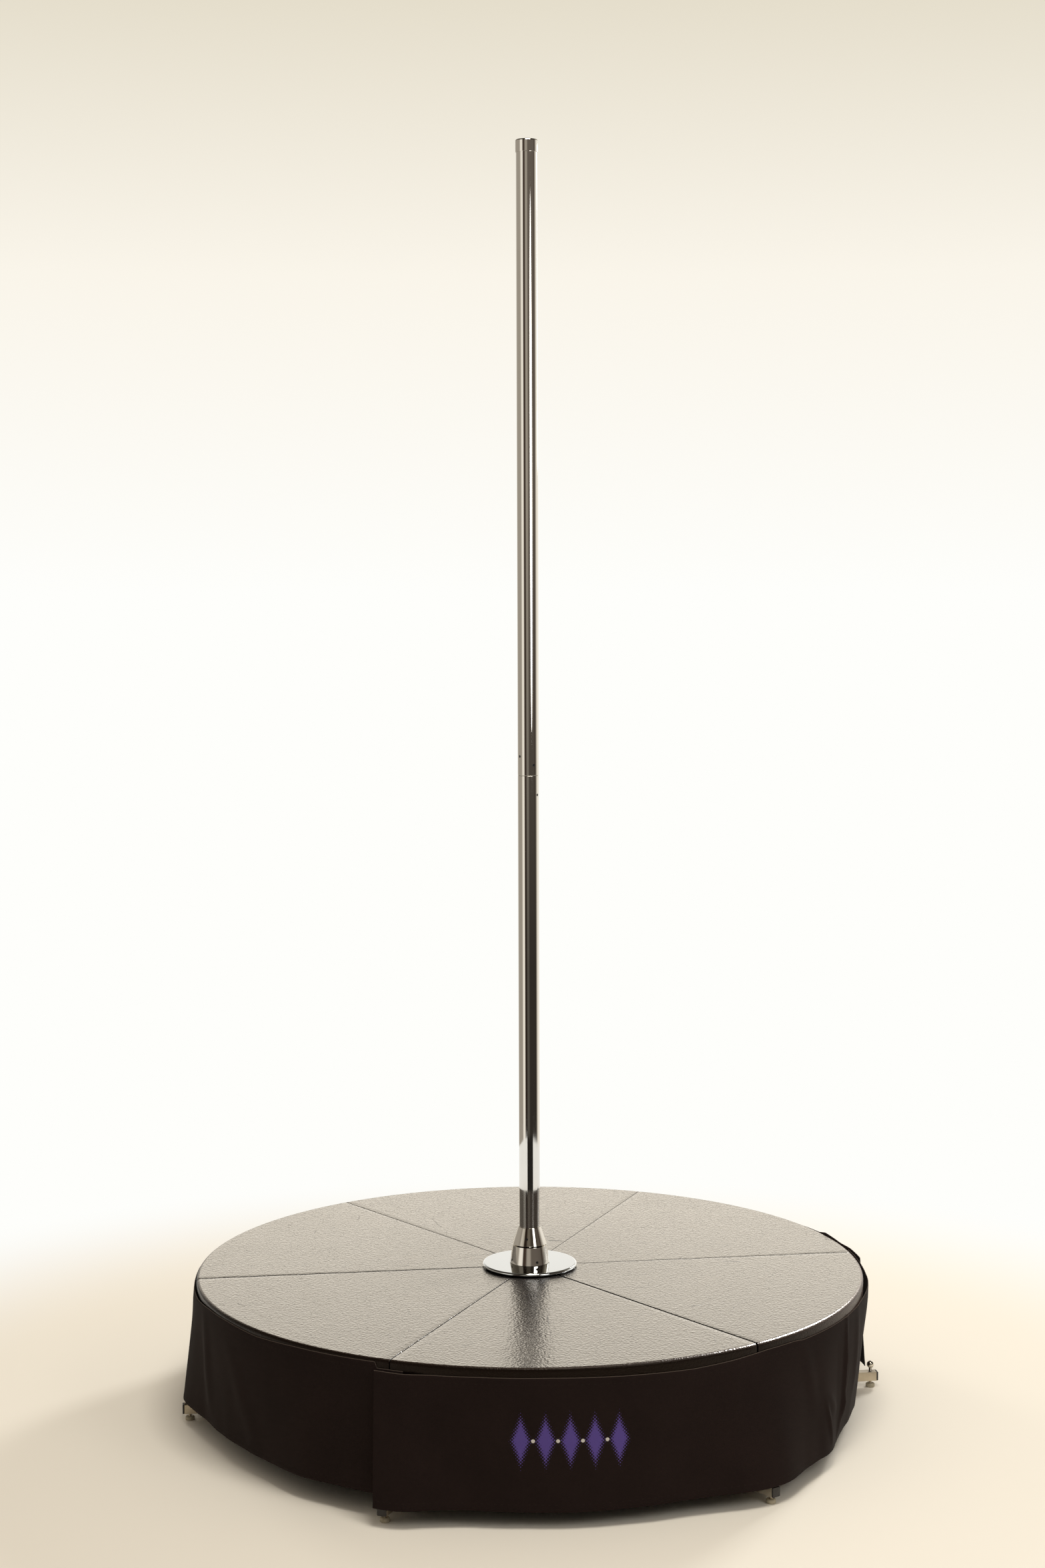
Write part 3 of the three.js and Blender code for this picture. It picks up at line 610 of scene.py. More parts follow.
@dataclass(frozen=True)
class DeckLaminate(Finish):
    """Black anti-slip laminate on board: near black from above, and a satin pebbled mirror at a low angle."""

    pebble_size: float = 5.0  # drawn coarser than the real 1 to 3 mm, so that it shows
    grit_share: float = 1.4  # of the pebble's size
    cloud_size: float = 260.0
    cloud_range: tuple[float, float] = (-0.01, 0.02)  # of roughness
    scuff_width: float = 26.0
    scuff_turns: float = 1.7  # scuffs for each radian round the pole
    scuff_depth: float = 0.05  # of roughness
    scuff_colour: str = "#15120F"
    scratch_bend: float = 420.0
    scratch_share: float = 0.0016  # of the noise's range, about 1 mm across
    scratch_length: float = 70.0
    scratch_depth: float = 0.25  # of roughness
    trodden_from: float = 250.0  # the dancer's feet dull the round about the pole the most
    trodden_to: float = 640.0
    trodden_depth: float = 0.05  # of roughness
    refraction: float = 1.52

    def pattern(self, add: Add) -> dict:
        """Pebbles break the gloss up, feet scuff arcs round the pole, and wiping leaves dull clouds.

        Args:
            add: Adds a node to the material.

        Returns:
            The shader's inputs, as in fill().
        """
        where = self.place(add)
        pebble = add("TexVoronoi", {"Vector": where, "Scale": per_mm(self.pebble_size)}, feature="SMOOTH_F1")
        grit = add("TexNoise", {
            "Vector": where, "Scale": per_mm(self.pebble_size * self.grit_share), "Detail": 3.0})
        height = add("Math", {0: pebble, 1: grit}, operation="ADD")
        out = add("VectorMath", {0: where}, "Value", operation="LENGTH")
        marks = self.scuffs(add, where, out)
        worn = add("Math", {0: marks, 1: self.scuff_depth, 2: self.dulled(add, where, out)},
                   operation="MULTIPLY_ADD")
        rough = add("Math", {0: self.scratches(add, where), 1: self.scratch_depth, 2: worn},
                    operation="MULTIPLY_ADD")
        return {
            "Base Color": add("ValToRGB", {"Fac": marks},
                              stops=((0.0, self.colour), (1.0, self.scuff_colour))),
            "Roughness": rough, "IOR": self.refraction,
            "Normal": add("Bump", {"Height": height, "Strength": 0.6, "Distance": 0.0011})}

    def scuffs(self, add: Add, where: Socket, out: Socket) -> Socket:
        """Where feet have scuffed arcs: noise over the distance from the pole and the turn round it.

        Args:
            add: Adds a node to the material.
            where: Object coordinates.
            out: The distance from the pole.

        Returns:
            0 on the clean laminate to 1 in a scuff.
        """
        axes = add("SeparateXYZ", {"Vector": where}).node.outputs
        turn = add("Math", {0: axes["Y"], 1: axes["X"]}, operation="ARCTAN2")
        round_pole = add("Mapping", {
            "Vector": add("CombineXYZ", {"X": out, "Y": turn}),
            "Scale": (per_mm(self.scuff_width), self.scuff_turns, 1)})
        scuff = add("TexNoise", {"Vector": round_pole, "Scale": 1.0, "Detail": 5.0, "Distortion": 1.2})
        return add("MapRange", {"Value": scuff, "From Min": 0.56, "From Max": 0.78})

    def dulled(self, add: Add, where: Socket, out: Socket) -> Socket:
        """The roughness with wiping's clouds and the trodden round added.

        Args:
            add: Adds a node to the material.
            where: Object coordinates.
            out: The distance from the pole.

        Returns:
            The roughness.
        """
        low, high = self.cloud_range
        cloud = add("TexNoise", {
            "Vector": where, "Scale": per_mm(self.cloud_size), "Detail": 4.0, "Distortion": 0.6})
        clouded = add("MapRange", {"Value": cloud, "From Min": 0.3, "From Max": 0.7,
                                   "To Min": self.roughness + low, "To Max": self.roughness + high})
        trodden = add("MapRange", {
            "Value": out, "From Min": self.trodden_to * MM, "From Max": self.trodden_from * MM,
            "To Max": self.trodden_depth}, interpolation_type="SMOOTHSTEP")
        return add("Math", {0: clouded, 1: trodden}, operation="ADD")

    def scratches(self, add: Add, where: Socket) -> Socket:
        """Long bent scratches: a level line of wide noise, kept where a smaller noise is high.

        Args:
            add: Adds a node to the material.
            where: Object coordinates.

        Returns:
            1 on a scratch and 0 elsewhere.
        """
        bend = add("TexNoise", {
            "Vector": where, "Scale": per_mm(self.scratch_bend), "Detail": 1.0, "Distortion": 0.8})
        line = add("Math", {0: bend, 1: 0.5, 2: self.scratch_share}, operation="COMPARE")
        part = add("TexNoise", {"Vector": where, "Scale": per_mm(self.scratch_length), "Detail": 0.0})
        some = add("Math", {0: part, 1: 0.62}, operation="GREATER_THAN")
        return add("Math", {0: line, 1: some}, operation="MULTIPLY")


@dataclass(frozen=True)
class PolyesterCloth(Finish):
    """Black woven polyester: dull and dense, with a trace of sheen on its folds and stitched hems."""

    thread_size: float = 1.6  # drawn coarser than the real 0.5 mm, so that it shows
    wave_share: float = 6.28  # makes one wave of the pattern two threads wide
    drop: float = 283.0
    hem: float = 16.0
    stitch_length: float = 7.0
    stitch_share: float = 0.36  # of the stitch's length
    stitch_width: float = 0.9
    stitch_colour: str = "#241C19"
    faded_size: float = 120.0
    faded_colour: str = "#231917"
    painted_highlight_width: float = 2.2  # how far the paler line, a painted highlight, reaches down from the top edge
    painted_highlight_colour: str = "#4E453F"

    def pattern(self, add: Add) -> dict:
        """Threads cross in the cloth's own plan, it is faded in clouds, and a painted highlight runs along
        its top edge.

        Args:
            add: Adds a node to the material.

        Returns:
            The shader's inputs, as in fill().
        """
        plan = add("UVMap", {}, uv_map="cloth_plan")
        threads = [add("TexWave", {
            "Vector": plan, "Scale": per_mm(self.thread_size) / self.wave_share, "Distortion": 0.4,
            "Detail": 1.0, "Detail Scale": 1.0}, "Fac", bands_direction=axis, wave_profile="SIN")
            for axis in ("X", "Y")]
        weave = add("Math", dict(enumerate(threads)), operation="MAXIMUM")
        axes = add("SeparateXYZ", {"Vector": plan}).node.outputs
        stitch = self.stitches(add, axes["X"], axes["Y"])
        height = add("Math", {0: stitch, 1: 2.0, 2: weave}, operation="MULTIPLY_ADD")
        fade = add("TexNoise", {"Vector": plan, "Scale": per_mm(self.faded_size), "Detail": 3.0})
        tint = add("ValToRGB", {"Fac": fade}, stops=((0.3, self.colour), (0.75, self.faded_colour)))
        lit = add("Mix", {0: stitch, 6: tint, 7: linear(self.stitch_colour)}, 2, data_type="RGBA")
        # A paler line along the cloth's top edge: a painted highlight.
        on_highlight_line = add("Math", {0: axes["Y"], 1: (self.drop - self.painted_highlight_width) * MM}, operation="GREATER_THAN")
        with_highlight = add("Mix", {0: on_highlight_line, 6: self.printed(add, plan, lit), 7: linear(self.painted_highlight_colour)}, 2,
                    data_type="RGBA")
        return {"Base Color": with_highlight, "Sheen Weight": 0.02, "Sheen Roughness": 0.45,
                "Specular IOR Level": 0.12,
                "Normal": add("Bump", {"Height": height, "Strength": 0.35, "Distance": 3e-4})}

    def stitches(self, add: Add, along: Socket, up: Socket) -> Socket:
        """One dashed row of stitches along each hem.

        Args:
            add: Adds a node to the material.
            along: The plan's way along the hem.
            up: The plan's way up.

        Returns:
            1 on a stitch and 0 elsewhere.
        """
        rows = [add("Math", {0: up, 1: level * MM, 2: self.stitch_width * MM}, operation="COMPARE")
                for level in (self.hem, self.drop - self.hem)]
        row = add("Math", dict(enumerate(rows)), operation="MAXIMUM")
        beat = add("Math", {0: along, 1: self.stitch_length * MM}, operation="PINGPONG")
        dash = add("Math", {0: beat, 1: self.stitch_share * self.stitch_length * MM}, operation="LESS_THAN")
        return add("Math", {0: row, 1: dash}, operation="MULTIPLY")

    def printed(self, add: Add, plan: Socket, cloth: Socket) -> Socket:
        """The cloth's colour with what is printed on it: nothing, on the plain cloth."""
        return cloth


@dataclass(frozen=True)
class PrintedCloth(PolyesterCloth):
    """The same cloth with a plain screen print: lozenges in purple dots, with pale spots between them."""

    middle: tuple[float, float] = (422.0, 150.0)  # on the cloth's plan
    count: int = 5
    pitch: float = 52.0
    half_wide: float = 27.0
    half_tall: float = 70.0
    dot_pitch: float = 5.0
    dot_turn: float = 45.0
    spot: float = 4.0
    dot_colour: str = "#5A4A90"
    spot_colour: str = "#CFCBC6"

    def printed(self, add: Add, plan: Socket, cloth: Socket) -> Socket:
        """The cloth's colour with the band of lozenges on it.

        Dots on a slanted grid shrink from a lozenge's middle, where |x| / w + |y| / h is 0, to its edge,
        where it is 1. A spot stands half a pitch from each middle.

        Args:
            add: Adds a node to the material.
            plan: The cloth's plan.
            cloth: The plain cloth's colour.

        Returns:
            The colour.
        """
        middle = tuple(value * MM for value in self.middle)
        from_middle = add("VectorMath", {0: plan, 1: (*middle, 0)}, operation="SUBTRACT")
        axes = add("SeparateXYZ", {"Vector": from_middle}).node.outputs
        half = self.pitch / 2 * MM
        in_cell = add("Math", {0: axes["X"], 1: half, 2: -half}, operation="WRAP")
        across = add("Math", {0: in_cell}, operation="ABSOLUTE")
        up = add("Math", {0: axes["Y"]}, operation="ABSOLUTE")
        dots = self.dots(add, plan, across, up)
        to_side = add("Math", {0: half, 1: across}, operation="SUBTRACT")
        round_spot = add("CombineXYZ", {"X": to_side, "Y": up})
        from_spot = add("VectorMath", {0: round_spot}, "Value", operation="LENGTH")
        spots = add("Math", {0: from_spot, 1: self.spot * MM}, operation="LESS_THAN")
        for mark, code, room in ((dots, self.dot_colour, 0.0), (spots, self.spot_colour, self.spot * 2 * MM)):
            in_band = add("Math", {0: axes["X"], 1: 0.0, 2: half * self.count - room}, operation="COMPARE")
            ink = add("Math", {0: mark, 1: in_band}, operation="MULTIPLY")
            cloth = add("Mix", {0: ink, 6: cloth, 7: linear(code)}, 2, data_type="RGBA")
        return cloth

    def dots(self, add: Add, plan: Socket, across: Socket, up: Socket) -> Socket:
        """The dots of all lozenges.

        Args:
            add: Adds a node to the material.
            plan: The cloth's plan.
            across: The distance along the hem from the nearest lozenge's middle.
            up: The height above or below the middle.

        Returns:
            1 on a dot and 0 elsewhere.
        """
        tall = add("Math", {0: up, 1: per_mm(self.half_tall)}, operation="MULTIPLY")
        lozenge = add("Math", {0: across, 1: per_mm(self.half_wide), 2: tall}, operation="MULTIPLY_ADD")
        size = add("MapRange", {"Value": lozenge, "From Min": 1.0, "From Max": 0.35, "To Max": 0.72})
        slanted = add("Mapping", {"Vector": plan, "Scale": (per_mm(self.dot_pitch),) * 3,
                                  "Rotation": (0, 0, math.radians(self.dot_turn))})
        within = add("VectorMath", {0: slanted}, operation="FRACTION")
        flat = add("VectorMath", {0: within, 1: (1, 1, 0)}, operation="MULTIPLY")
        from_dot = add("VectorMath", {0: flat, 1: (0.5, 0.5, 0)}, "Value", operation="DISTANCE")
        return add("Math", {0: from_dot, 1: size}, operation="LESS_THAN")


@dataclass(frozen=True)
class EdgingStrip(Finish):
    """Black PVC edging pressed round the deck's rim: a plain satin nose that mirrors little of the room."""

    pebble_size: float = 3.0
    mirror_colour: str = "#F4E3D4"

    def pattern(self, add: Add) -> dict:
        """A fine pebble, so that its highlight glitters.

        Args:
            add: Adds a node to the material.

        Returns:
            The shader's inputs, as in fill().
        """
        pebble = add("TexVoronoi", {"Vector": self.place(add), "Scale": per_mm(self.pebble_size)},
                     feature="SMOOTH_F1")
        return {"Normal": add("Bump", {"Height": pebble, "Strength": 0.8, "Distance": 7e-4}),
                "Specular IOR Level": 0.14, "Specular Tint": linear(self.mirror_colour)}


class Stuff:
    """The finishes that the pieces share."""

    # Chromed tube: a warm mirror.
    chrome = ChromePlate("chrome_plated_steel", "#E4E0D9", 0.03, 1.0)
    # Polished stainless sheet: a cooler, slightly softer mirror.
    plate = ChromePlate("polished_stainless_steel", "#E2E5E6", 0.04, 1.0)
    # Zinc-plated turned steel: bright but soft.
    zinc = ChromePlate("bright_zinc_steel", "#D6D0C4", 0.14, 1.0, smudge_size=12.0)
    deck = DeckLaminate("black_laminate_board", "#0C0A09", 0.17)
    edging = EdgingStrip("black_pvc_edging", "#18110D", 0.3)
    cloth = PolyesterCloth("black_polyester_cloth", "#1E1513", 0.9)
    printed_cloth = PrintedCloth("screen_printed_polyester_cloth", "#1E1513", 0.9)
    # Blackened screws: dark with a dull shine.
    black_oxide = SpeckledFinish("black_oxide_steel", "#29272A", 0.42, 1.0, speck_size=0.8,
                                 other_colour="#3A373A")
    # Ground rings and balls: even and bright.
    bearing = SpeckledFinish("ground_bearing_steel", "#C3C5C7", 0.2, 1.0, speck_size=1.5, bump=0.05,
                             other_colour="#A9ABAE")
    # Baked powder on the hub: a fine orange peel.
    painted = SpeckledFinish("powder_coated_steel", "#1D1D21", 0.5, speck_size=1.4, bump=0.3,
                             other_colour="#2A2A2F")
    # Cut rubber ring: matt black.
    rubber = SpeckledFinish("black_rubber", "#0E0E0E", 0.8, speck_size=0.7, bump=0.2, other_colour="#191919")
    # Moulded plugs: black with a faint grain.
    plug = SpeckledFinish("moulded_black_plastic", "#13100F", 0.42, speck_size=0.9, bump=0.2,
                          other_colour="#221C19")
    # Moulded pads: pale and waxy.
    pad = SpeckledFinish("moulded_nylon", "#A59C86", 0.55, speck_size=1.6, other_colour="#B6AE9A")
    # Felted wool on the studio's floor: without any shine.
    wool = SpeckledFinish("black_wool_mat", "#0C0B0A", 1.0, other_colour="#131110")

    @staticmethod
    def rail(turn: float) -> SatinSteel:
        """The rails' steel, with its grain along a rail that points this way."""
        return SatinSteel(f"satin_zinc_steel_{round(turn)}", "#D4CAB7", 0.34, 1.0, turn=turn)


# The object


def settle(piece: bpy.types.Object, body: str, slot: str, *nodes: str) -> bpy.types.Object:
    """Attaches a finished piece to the body that it moves with, hides the CAD nodes that it stands for, and
    logs it.

    Args:
        piece: The piece.
        body: The body that it moves with.
        slot: Its material slot. Not used.
        nodes: The CAD nodes that it stands for.

    Returns:
        The piece.
    """
    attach(piece, body)
    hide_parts(*nodes)
    log.info("%s: %d faces, for %s", piece.name, len(piece.data.polygons), ", ".join(nodes))
    return piece


def dress(finish: Finish, *nodes: str) -> None:
    """Gives CAD nodes whose shape is right a better material.

    Args:
        finish: What they are made of.
        nodes: Their names.
    """
    for node in nodes:
        for slot in frame["nodes"][node].material_slots:
            slot.link = "OBJECT"
            slot.material = finish.material()
    log.info("%s: %s", finish.label, ", ".join(nodes))


@dataclass
class Pole:
    """The chromed pole: two tubes that meet at a butt joint with four grub screws, and the cap."""

    radius: float = 25.0
    wall: float = 2.0
    foot: float = 45.0
    tube: float = 1485.0
    joint_gap: float = 0.3
    edge: float = 0.8  # rounding of the tubes' ends, which draws the joint as a fine light line
    screw_rises: tuple[float, ...] = (46.0, 25.4, -46.0, -25.4)
    screw_turns: tuple[float, ...] = (-152.0, -67.0, -39.0, 51.0)
    cap_outside: float = 26.66
    cap_inside: float = 25.35
    cap_height: float = 30.0
    cap_crown: float = 4.0
    cap_edge: float = 3.2
    cap_dome: float = 0.5  # how far the crown's middle stands above its edge
    cap_small_edges: tuple[float, ...] = (0.4, 0.25, 0.4)  # under the crown, inside and outside the lip
    segments: int = 96

    @property
    def joint(self) -> float:
        """The height where the two tubes meet."""
        return self.foot + self.tube

    def tube_piece(self, name: str, low: float, node: str) -> bpy.types.Object:
        """One tube with its two screw holes and rounded ends.

        Args:
            name: The piece's name.
            low: The height of its lower end.
            node: The CAD node that it stands for.

        Returns:
            The piece.
        """
        high = low + self.tube
        holes = [Hole(turn, self.joint + rise) for rise, turn in zip(self.screw_rises, self.screw_turns)
                 if low < self.joint + rise < high]
        bore, e = self.radius - self.wall, self.edge
        wall = DrilledWall(lambda z: self.radius + 0 * z, lambda z: bore + 0 * z,
                           spaced(low + e, high - e, holes), holes)
        level = high - e + e * np.sin(QUARTER)
        outer = np.stack([self.radius - e + e * np.cos(QUARTER), level], -1)
        inner = np.stack([bore + e - e * np.cos(QUARTER), level], -1)
        top = np.concatenate([outer, inner[::-1]])
        bottom = np.stack([top[::-1, 0], low + high - top[::-1, 1]], -1)
        return settle(wall.shell(top, bottom).piece(name, Stuff.chrome), "pole", "chrome", node)

    def cap_piece(self) -> bpy.types.Object:
        """The cap, a shallow cup whose top edge is rounded and whose crown is very slightly domed.

        Returns:
            The piece.
        """
        under = self.joint + self.joint_gap + self.tube + self.joint_gap
        top = under + self.cap_crown
        lip = top - self.cap_height
        crown_edge, inner_edge, outer_edge = self.cap_small_edges
        profile = rounded([
            (0, under, 0), (self.cap_inside, under, crown_edge), (self.cap_inside, lip, inner_edge),
            (self.cap_outside, lip, outer_edge), (self.cap_outside, top - self.cap_dome, self.cap_edge),
            (0, top, 0)])
        made = Shell().grid(revolved(profile, self.segments)).piece("pole_cap", Stuff.chrome)
        return settle(made, "pole", "chrome", "top_cap")

    def build(self) -> None:
        """Makes the tubes and the cap, and dresses what holds them together."""
        self.tube_piece("pole_lower_tube", self.foot, "lower_tube")
        self.tube_piece("pole_upper_tube", self.joint + self.joint_gap, "upper_tube")
        self.cap_piece()
        screws = [f"joiner_screw_{k + 1}" for k in range(len(self.screw_turns))]
        dress(Stuff.black_oxide, *screws, "stub_circlip")
        dress(Stuff.zinc, "tube_joiner", "pole_plug")


@dataclass
class Foot:
    """The pole's foot: the turning upper cone, the fixed lower one, the flange plate and its ring."""

    flange_radius: float = 114.0
    flange_low: float = 344.6
    flange_high: float = 350.6
    flange_play: float = 0.32  # round the spigot
    flange_edges: tuple[float, ...] = (0.3, 0.8, 4.4, 0.4)  # bore and rim below, rim and bore above
    spigot: float = 45.0
    spigot_low: float = 311.3
    cone_foot: float = 350.9
    cone_top: float = 393.5
    cone_radii: tuple[float, float, float] = (48.0, 41.0, 27.0)
    cone_bore: float = 26.6
    cone_cell: float = 1.3
    cone_reach: float = 4.6
    collar_foot: float = 396.0
    collar_top: float = 438.0
    collar_bore: float = 25.36
    pocket: float = 40.4
    pocket_roof: float = 337.3
    lock_turns: tuple[float, float] = (-75.5, -165.5)
    lock_height: float = 358.9
    collar_turn: float = -110.0
    collar_height: float = 413.0
    gasket_radii: tuple[float, float] = (94.0, 106.0)
    gasket_low: float = 341.3
    gasket_high: float = 344.3
    gasket_edges: tuple[float, float] = (0.5, 1.2)  # inside and outside
    gasket_support: float = 0.05
    edge: float = 0.6
    # How far the edge's middle and end draw in and down at the top, and its middle in and up at the foot.
    cone_edge_shares: tuple[float, ...] = (0.35, 0.3, 1.0, 0.0, 0.4)
    collar_edge_shares: tuple[float, ...] = (0.4, 0.25, 0.9, 0.3, 0.3)

    @staticmethod
    def slope(low: float, high: float, wide: float, narrow: float) -> Radius:
        """A cone's radius at a height, on the straight line from its foot to its top."""
        return lambda z: wide + (narrow - wide) * (z - low) / (high - low)

    def ends(self, outside: Radius, low: float, high: float, shares: Sequence[float]) -> tuple[list, list]:
        """The small edges at a cone's top and foot.

        Args:
            outside: The cone's radius.
            low: The height of its foot.
            high: The height of its top.
            shares: Of the edge, as in cone_edge_shares.

        Returns:
            The top's points outside to inside, and the foot's inside to outside.
        """
        e = self.edge
        top_out, low_out = float(outside(high - e)), float(outside(low + e))
        across, down, end, inward, up = shares
        top = [[top_out, high - e], [top_out - e * across, high - e * down], [top_out - e * end, high]]
        foot = [[low_out - e, low], [low_out - e * inward, low + e * up], [low_out, low + e]]
        return top, foot

    def cone_piece(self) -> bpy.types.Object:
        """The fixed cone with its two lock screw holes, on the spigot that holds the upper bearing.

        Returns:
            The piece.
        """
        low, high, e, bore = self.cone_foot, self.cone_top, self.edge, self.cone_bore
        holes = [Hole(turn, self.lock_height) for turn in self.lock_turns]
        outside = self.slope(low, high, self.cone_radii[0], self.cone_radii[1])
        rows = spaced(low + e, high - e, holes, self.cone_cell, self.cone_reach)
        wall = DrilledWall(outside, lambda z: bore + 0 * z, rows, holes)
        top, foot = self.ends(outside, low, high, self.cone_edge_shares)
        top += [[bore + e, high], [bore, high - e]]
        under = [[bore, low + e], [bore, self.pocket_roof], [self.pocket, self.pocket_roof],
                 [self.pocket, self.spigot_low], [self.spigot, self.spigot_low], [self.spigot, low]]
        made = wall.shell(np.array(top), np.array(under + foot)).piece("fixed_cone", Stuff.chrome)
        return settle(made, "stage", "chrome", "lower_cone")

    def collar_piece(self) -> bpy.types.Object:
        """The cone clamped on the pole, with its grub screw hole.

        Returns:
            The piece.
        """
        low, high, e, bore = self.collar_foot, self.collar_top, self.edge, self.collar_bore
        holes = [Hole(self.collar_turn, self.collar_height)]
        outside = self.slope(low, high, self.cone_radii[1], self.cone_radii[2])
        wall = DrilledWall(outside, lambda z: bore + 0 * z, spaced(low + e, high - e, holes), holes)
        top, foot = self.ends(outside, low, high, self.collar_edge_shares)
        top += [[bore, high], [bore, high - e]]
        under = [[bore, low + e], [bore, low]]
        made = wall.shell(np.array(top), np.array(under + foot)).piece("turning_cone", Stuff.chrome)
        return settle(made, "pole", "chrome", "spin_collar")

    def flange_piece(self) -> bpy.types.Object:
        """The flange plate, a flat mirror with a rounded rim and a small break along its bore.

        Returns:
            The piece.
        """
        bore = self.spigot + self.flange_play
        corners = [(bore, self.flange_low), (self.flange_radius, self.flange_low),
                   (self.flange_radius, self.flange_high), (bore, self.flange_high)]
        edges = [(*corner, edge) for corner, edge in zip(corners, self.flange_edges)]
        profile = closed(rounded(edges, steps=6))
        made = Shell().grid(revolved(profile, 160)).piece("flange_mirror_plate", Stuff.plate)
        return settle(made, "stage", "chrome", "flange_plate")

    def gasket_piece(self) -> bpy.types.Object:
        """The rubber ring under the flange plate, slightly bulged on its outside.

        Returns:
            The piece.
        """
        (inner, outer), (inner_edge, outer_edge) = self.gasket_radii, self.gasket_edges
        profile = closed(rounded([
            (inner, self.gasket_low, inner_edge), (outer, self.gasket_low, outer_edge),
            (outer, self.gasket_high, outer_edge), (inner, self.gasket_high, inner_edge)],
            steps=4, support=self.gasket_support))
        made = Shell().grid(revolved(profile, 120)).piece("flange_rubber_ring", Stuff.rubber)
        return settle(made, "stage", "black_rubber", "flange_gasket")

    def build(self) -> None:
        """Makes the cones, the flange and its ring, and dresses their screws."""
        self.cone_piece()
        self.collar_piece()
        self.flange_piece()
        self.gasket_piece()
        dress(Stuff.black_oxide, "collar_screw", "lock_screw_1", "lock_screw_2")


@dataclass
class Hub:
    """What stands in the middle under the deck. Its CAD solids have their real shape and stay."""

    def build(self) -> None:
        """Dresses the hub, the spacer and both bearings."""
        dress(Stuff.painted, "hub_base_plate", "hub_column", "hub_top_plate")
        dress(Stuff.zinc, "bearing_spacer")
        dress(Stuff.bearing, *(f"{place}_bearing_{part}" for place in ("upper", "lower")
                               for part in ("outer", "inner", "balls")))


@dataclass
class Deck:
    """Six wedge panels with a bull-nosed rim."""

    inner: float = 93.1
    outer: float = 800.0
    low: float = 305.0
    high: float = 341.0
    nose: float = 8.0
    nose_seam: float = 0.9  # from the start of the nose's curve to where the edging begins
    bottom_edge: float = 3.0
    inner_edge: float = 2.0
    seams: tuple[float, ...] = (2.4, 1.4, 2.0, 4.4, 2.6, 4.8)  # gaps at 0, 60, ... degrees, as it was put up
    seam_edge: float = 0.5
    steps: int = 44

    def profile(self, inset: float) -> np.ndarray:
        """The panel's section, drawn in on all sides.

        Args:
            inset: How far it is drawn in.

        Returns:
            The closed section of (radius, height), from its inner edge to the rim and back.
        """
        inner, outer, low, high = self.inner + inset, self.outer - inset, self.low + inset, self.high - inset
        return closed(rounded([
            (inner, low, self.inner_edge - inset), (outer, low, self.bottom_edge - inset),
            (outer, high, self.nose - inset), (inner, high, self.inner_edge - inset)], steps=9, support=1.0))

    def panel(self, index: int) -> bpy.types.Object:
        """One panel between two seams.

        Its section is carried from seam to seam. At distance w from a seam's line, a point at radius r
        stands at the turn asin(w / r). Beside each seam, the section grows from its inset by a quarter
        circle.

        Args:
            index: Its place, counted round from the line at 0 degrees.

        Returns:
            The piece.
        """
        beside = self.seam_edge * (1 - np.cos(QUARTER))
        gaps = self.seams[index] / 2, self.seams[(index + 1) % LEGS] / 2
        sections = np.stack([self.profile(inset) for inset in self.seam_edge * (1 - np.sin(QUARTER))])
        radius, height = sections[..., 0], sections[..., 1]
        wedge = ROUND / LEGS
        from_seam, to_seam = (np.arcsin((beside[:, None] + gap) / radius) for gap in gaps)
        share = np.linspace(0, 1, self.steps + 1)[1:-1, None]
        full, level = radius[-1][None], height[-1][None]
        middle = from_seam[-1] + (wedge - to_seam[-1] - from_seam[-1]) * share
        turn = np.concatenate([from_seam, middle, wedge - to_seam[::-1]]) + wedge * index
        radius = np.concatenate([radius, np.repeat(full, len(share), 0), radius[::-1]])
        height = np.concatenate([height, np.repeat(level, len(share), 0), height[::-1]])
        points = np.stack([radius * np.cos(turn), radius * np.sin(turn), height], -1)
        shell = Shell().grid(points).lid(points[0, :-1]).lid(points[-1, :-1])
        made = shell.piece(f"deck_board_{index + 1}", Stuff.deck)
        self.edge_nose(made.data)
        return settle(made, "stage", "deck_board", f"deck_panel_{index + 1}")

    def edge_nose(self, mesh: bpy.types.Mesh) -> None:
        """Gives the faces of a panel's nose the edging's material.

        Args:
            mesh: The panel's mesh.
        """
        mesh.materials.append(Stuff.edging.material())
        centres = np.zeros(len(mesh.polygons) * 3)
        mesh.polygons.foreach_get("center", centres)
        centres = centres.reshape(-1, 3) / MM
        on_nose = np.hypot(centres[:, 0], centres[:, 1]) > self.outer - self.nose + self.nose_seam
        mesh.polygons.foreach_set("material_index", on_nose.astype(np.int32))

    def build(self) -> None:
        """Makes the six panels."""
        for index in range(LEGS):
            self.panel(index)


class Side(Enum):
    """The three cloth panels of the skirt."""

    FRONT = "front"
    BACK = "back"
    LEFT = "left"


@dataclass(frozen=True)
class Panel:
    """How one panel of the skirt hangs. Its shares stand every 15 degrees from its first edge."""

    side: Side
    first: float
    lift: float
    flares: tuple[float, ...]
    folds: tuple[float, ...]
    # Where its top edge has ridden up or slid down: degrees, millimetres.
    stands: tuple[tuple[float, float], ...]
    flat: tuple[float, float, float]  # width and drop in millimetres, and area in square metres
    seed: float
    slant: float = 0.0  # degrees by which its first edge, which hangs plumb, draws in at the hem


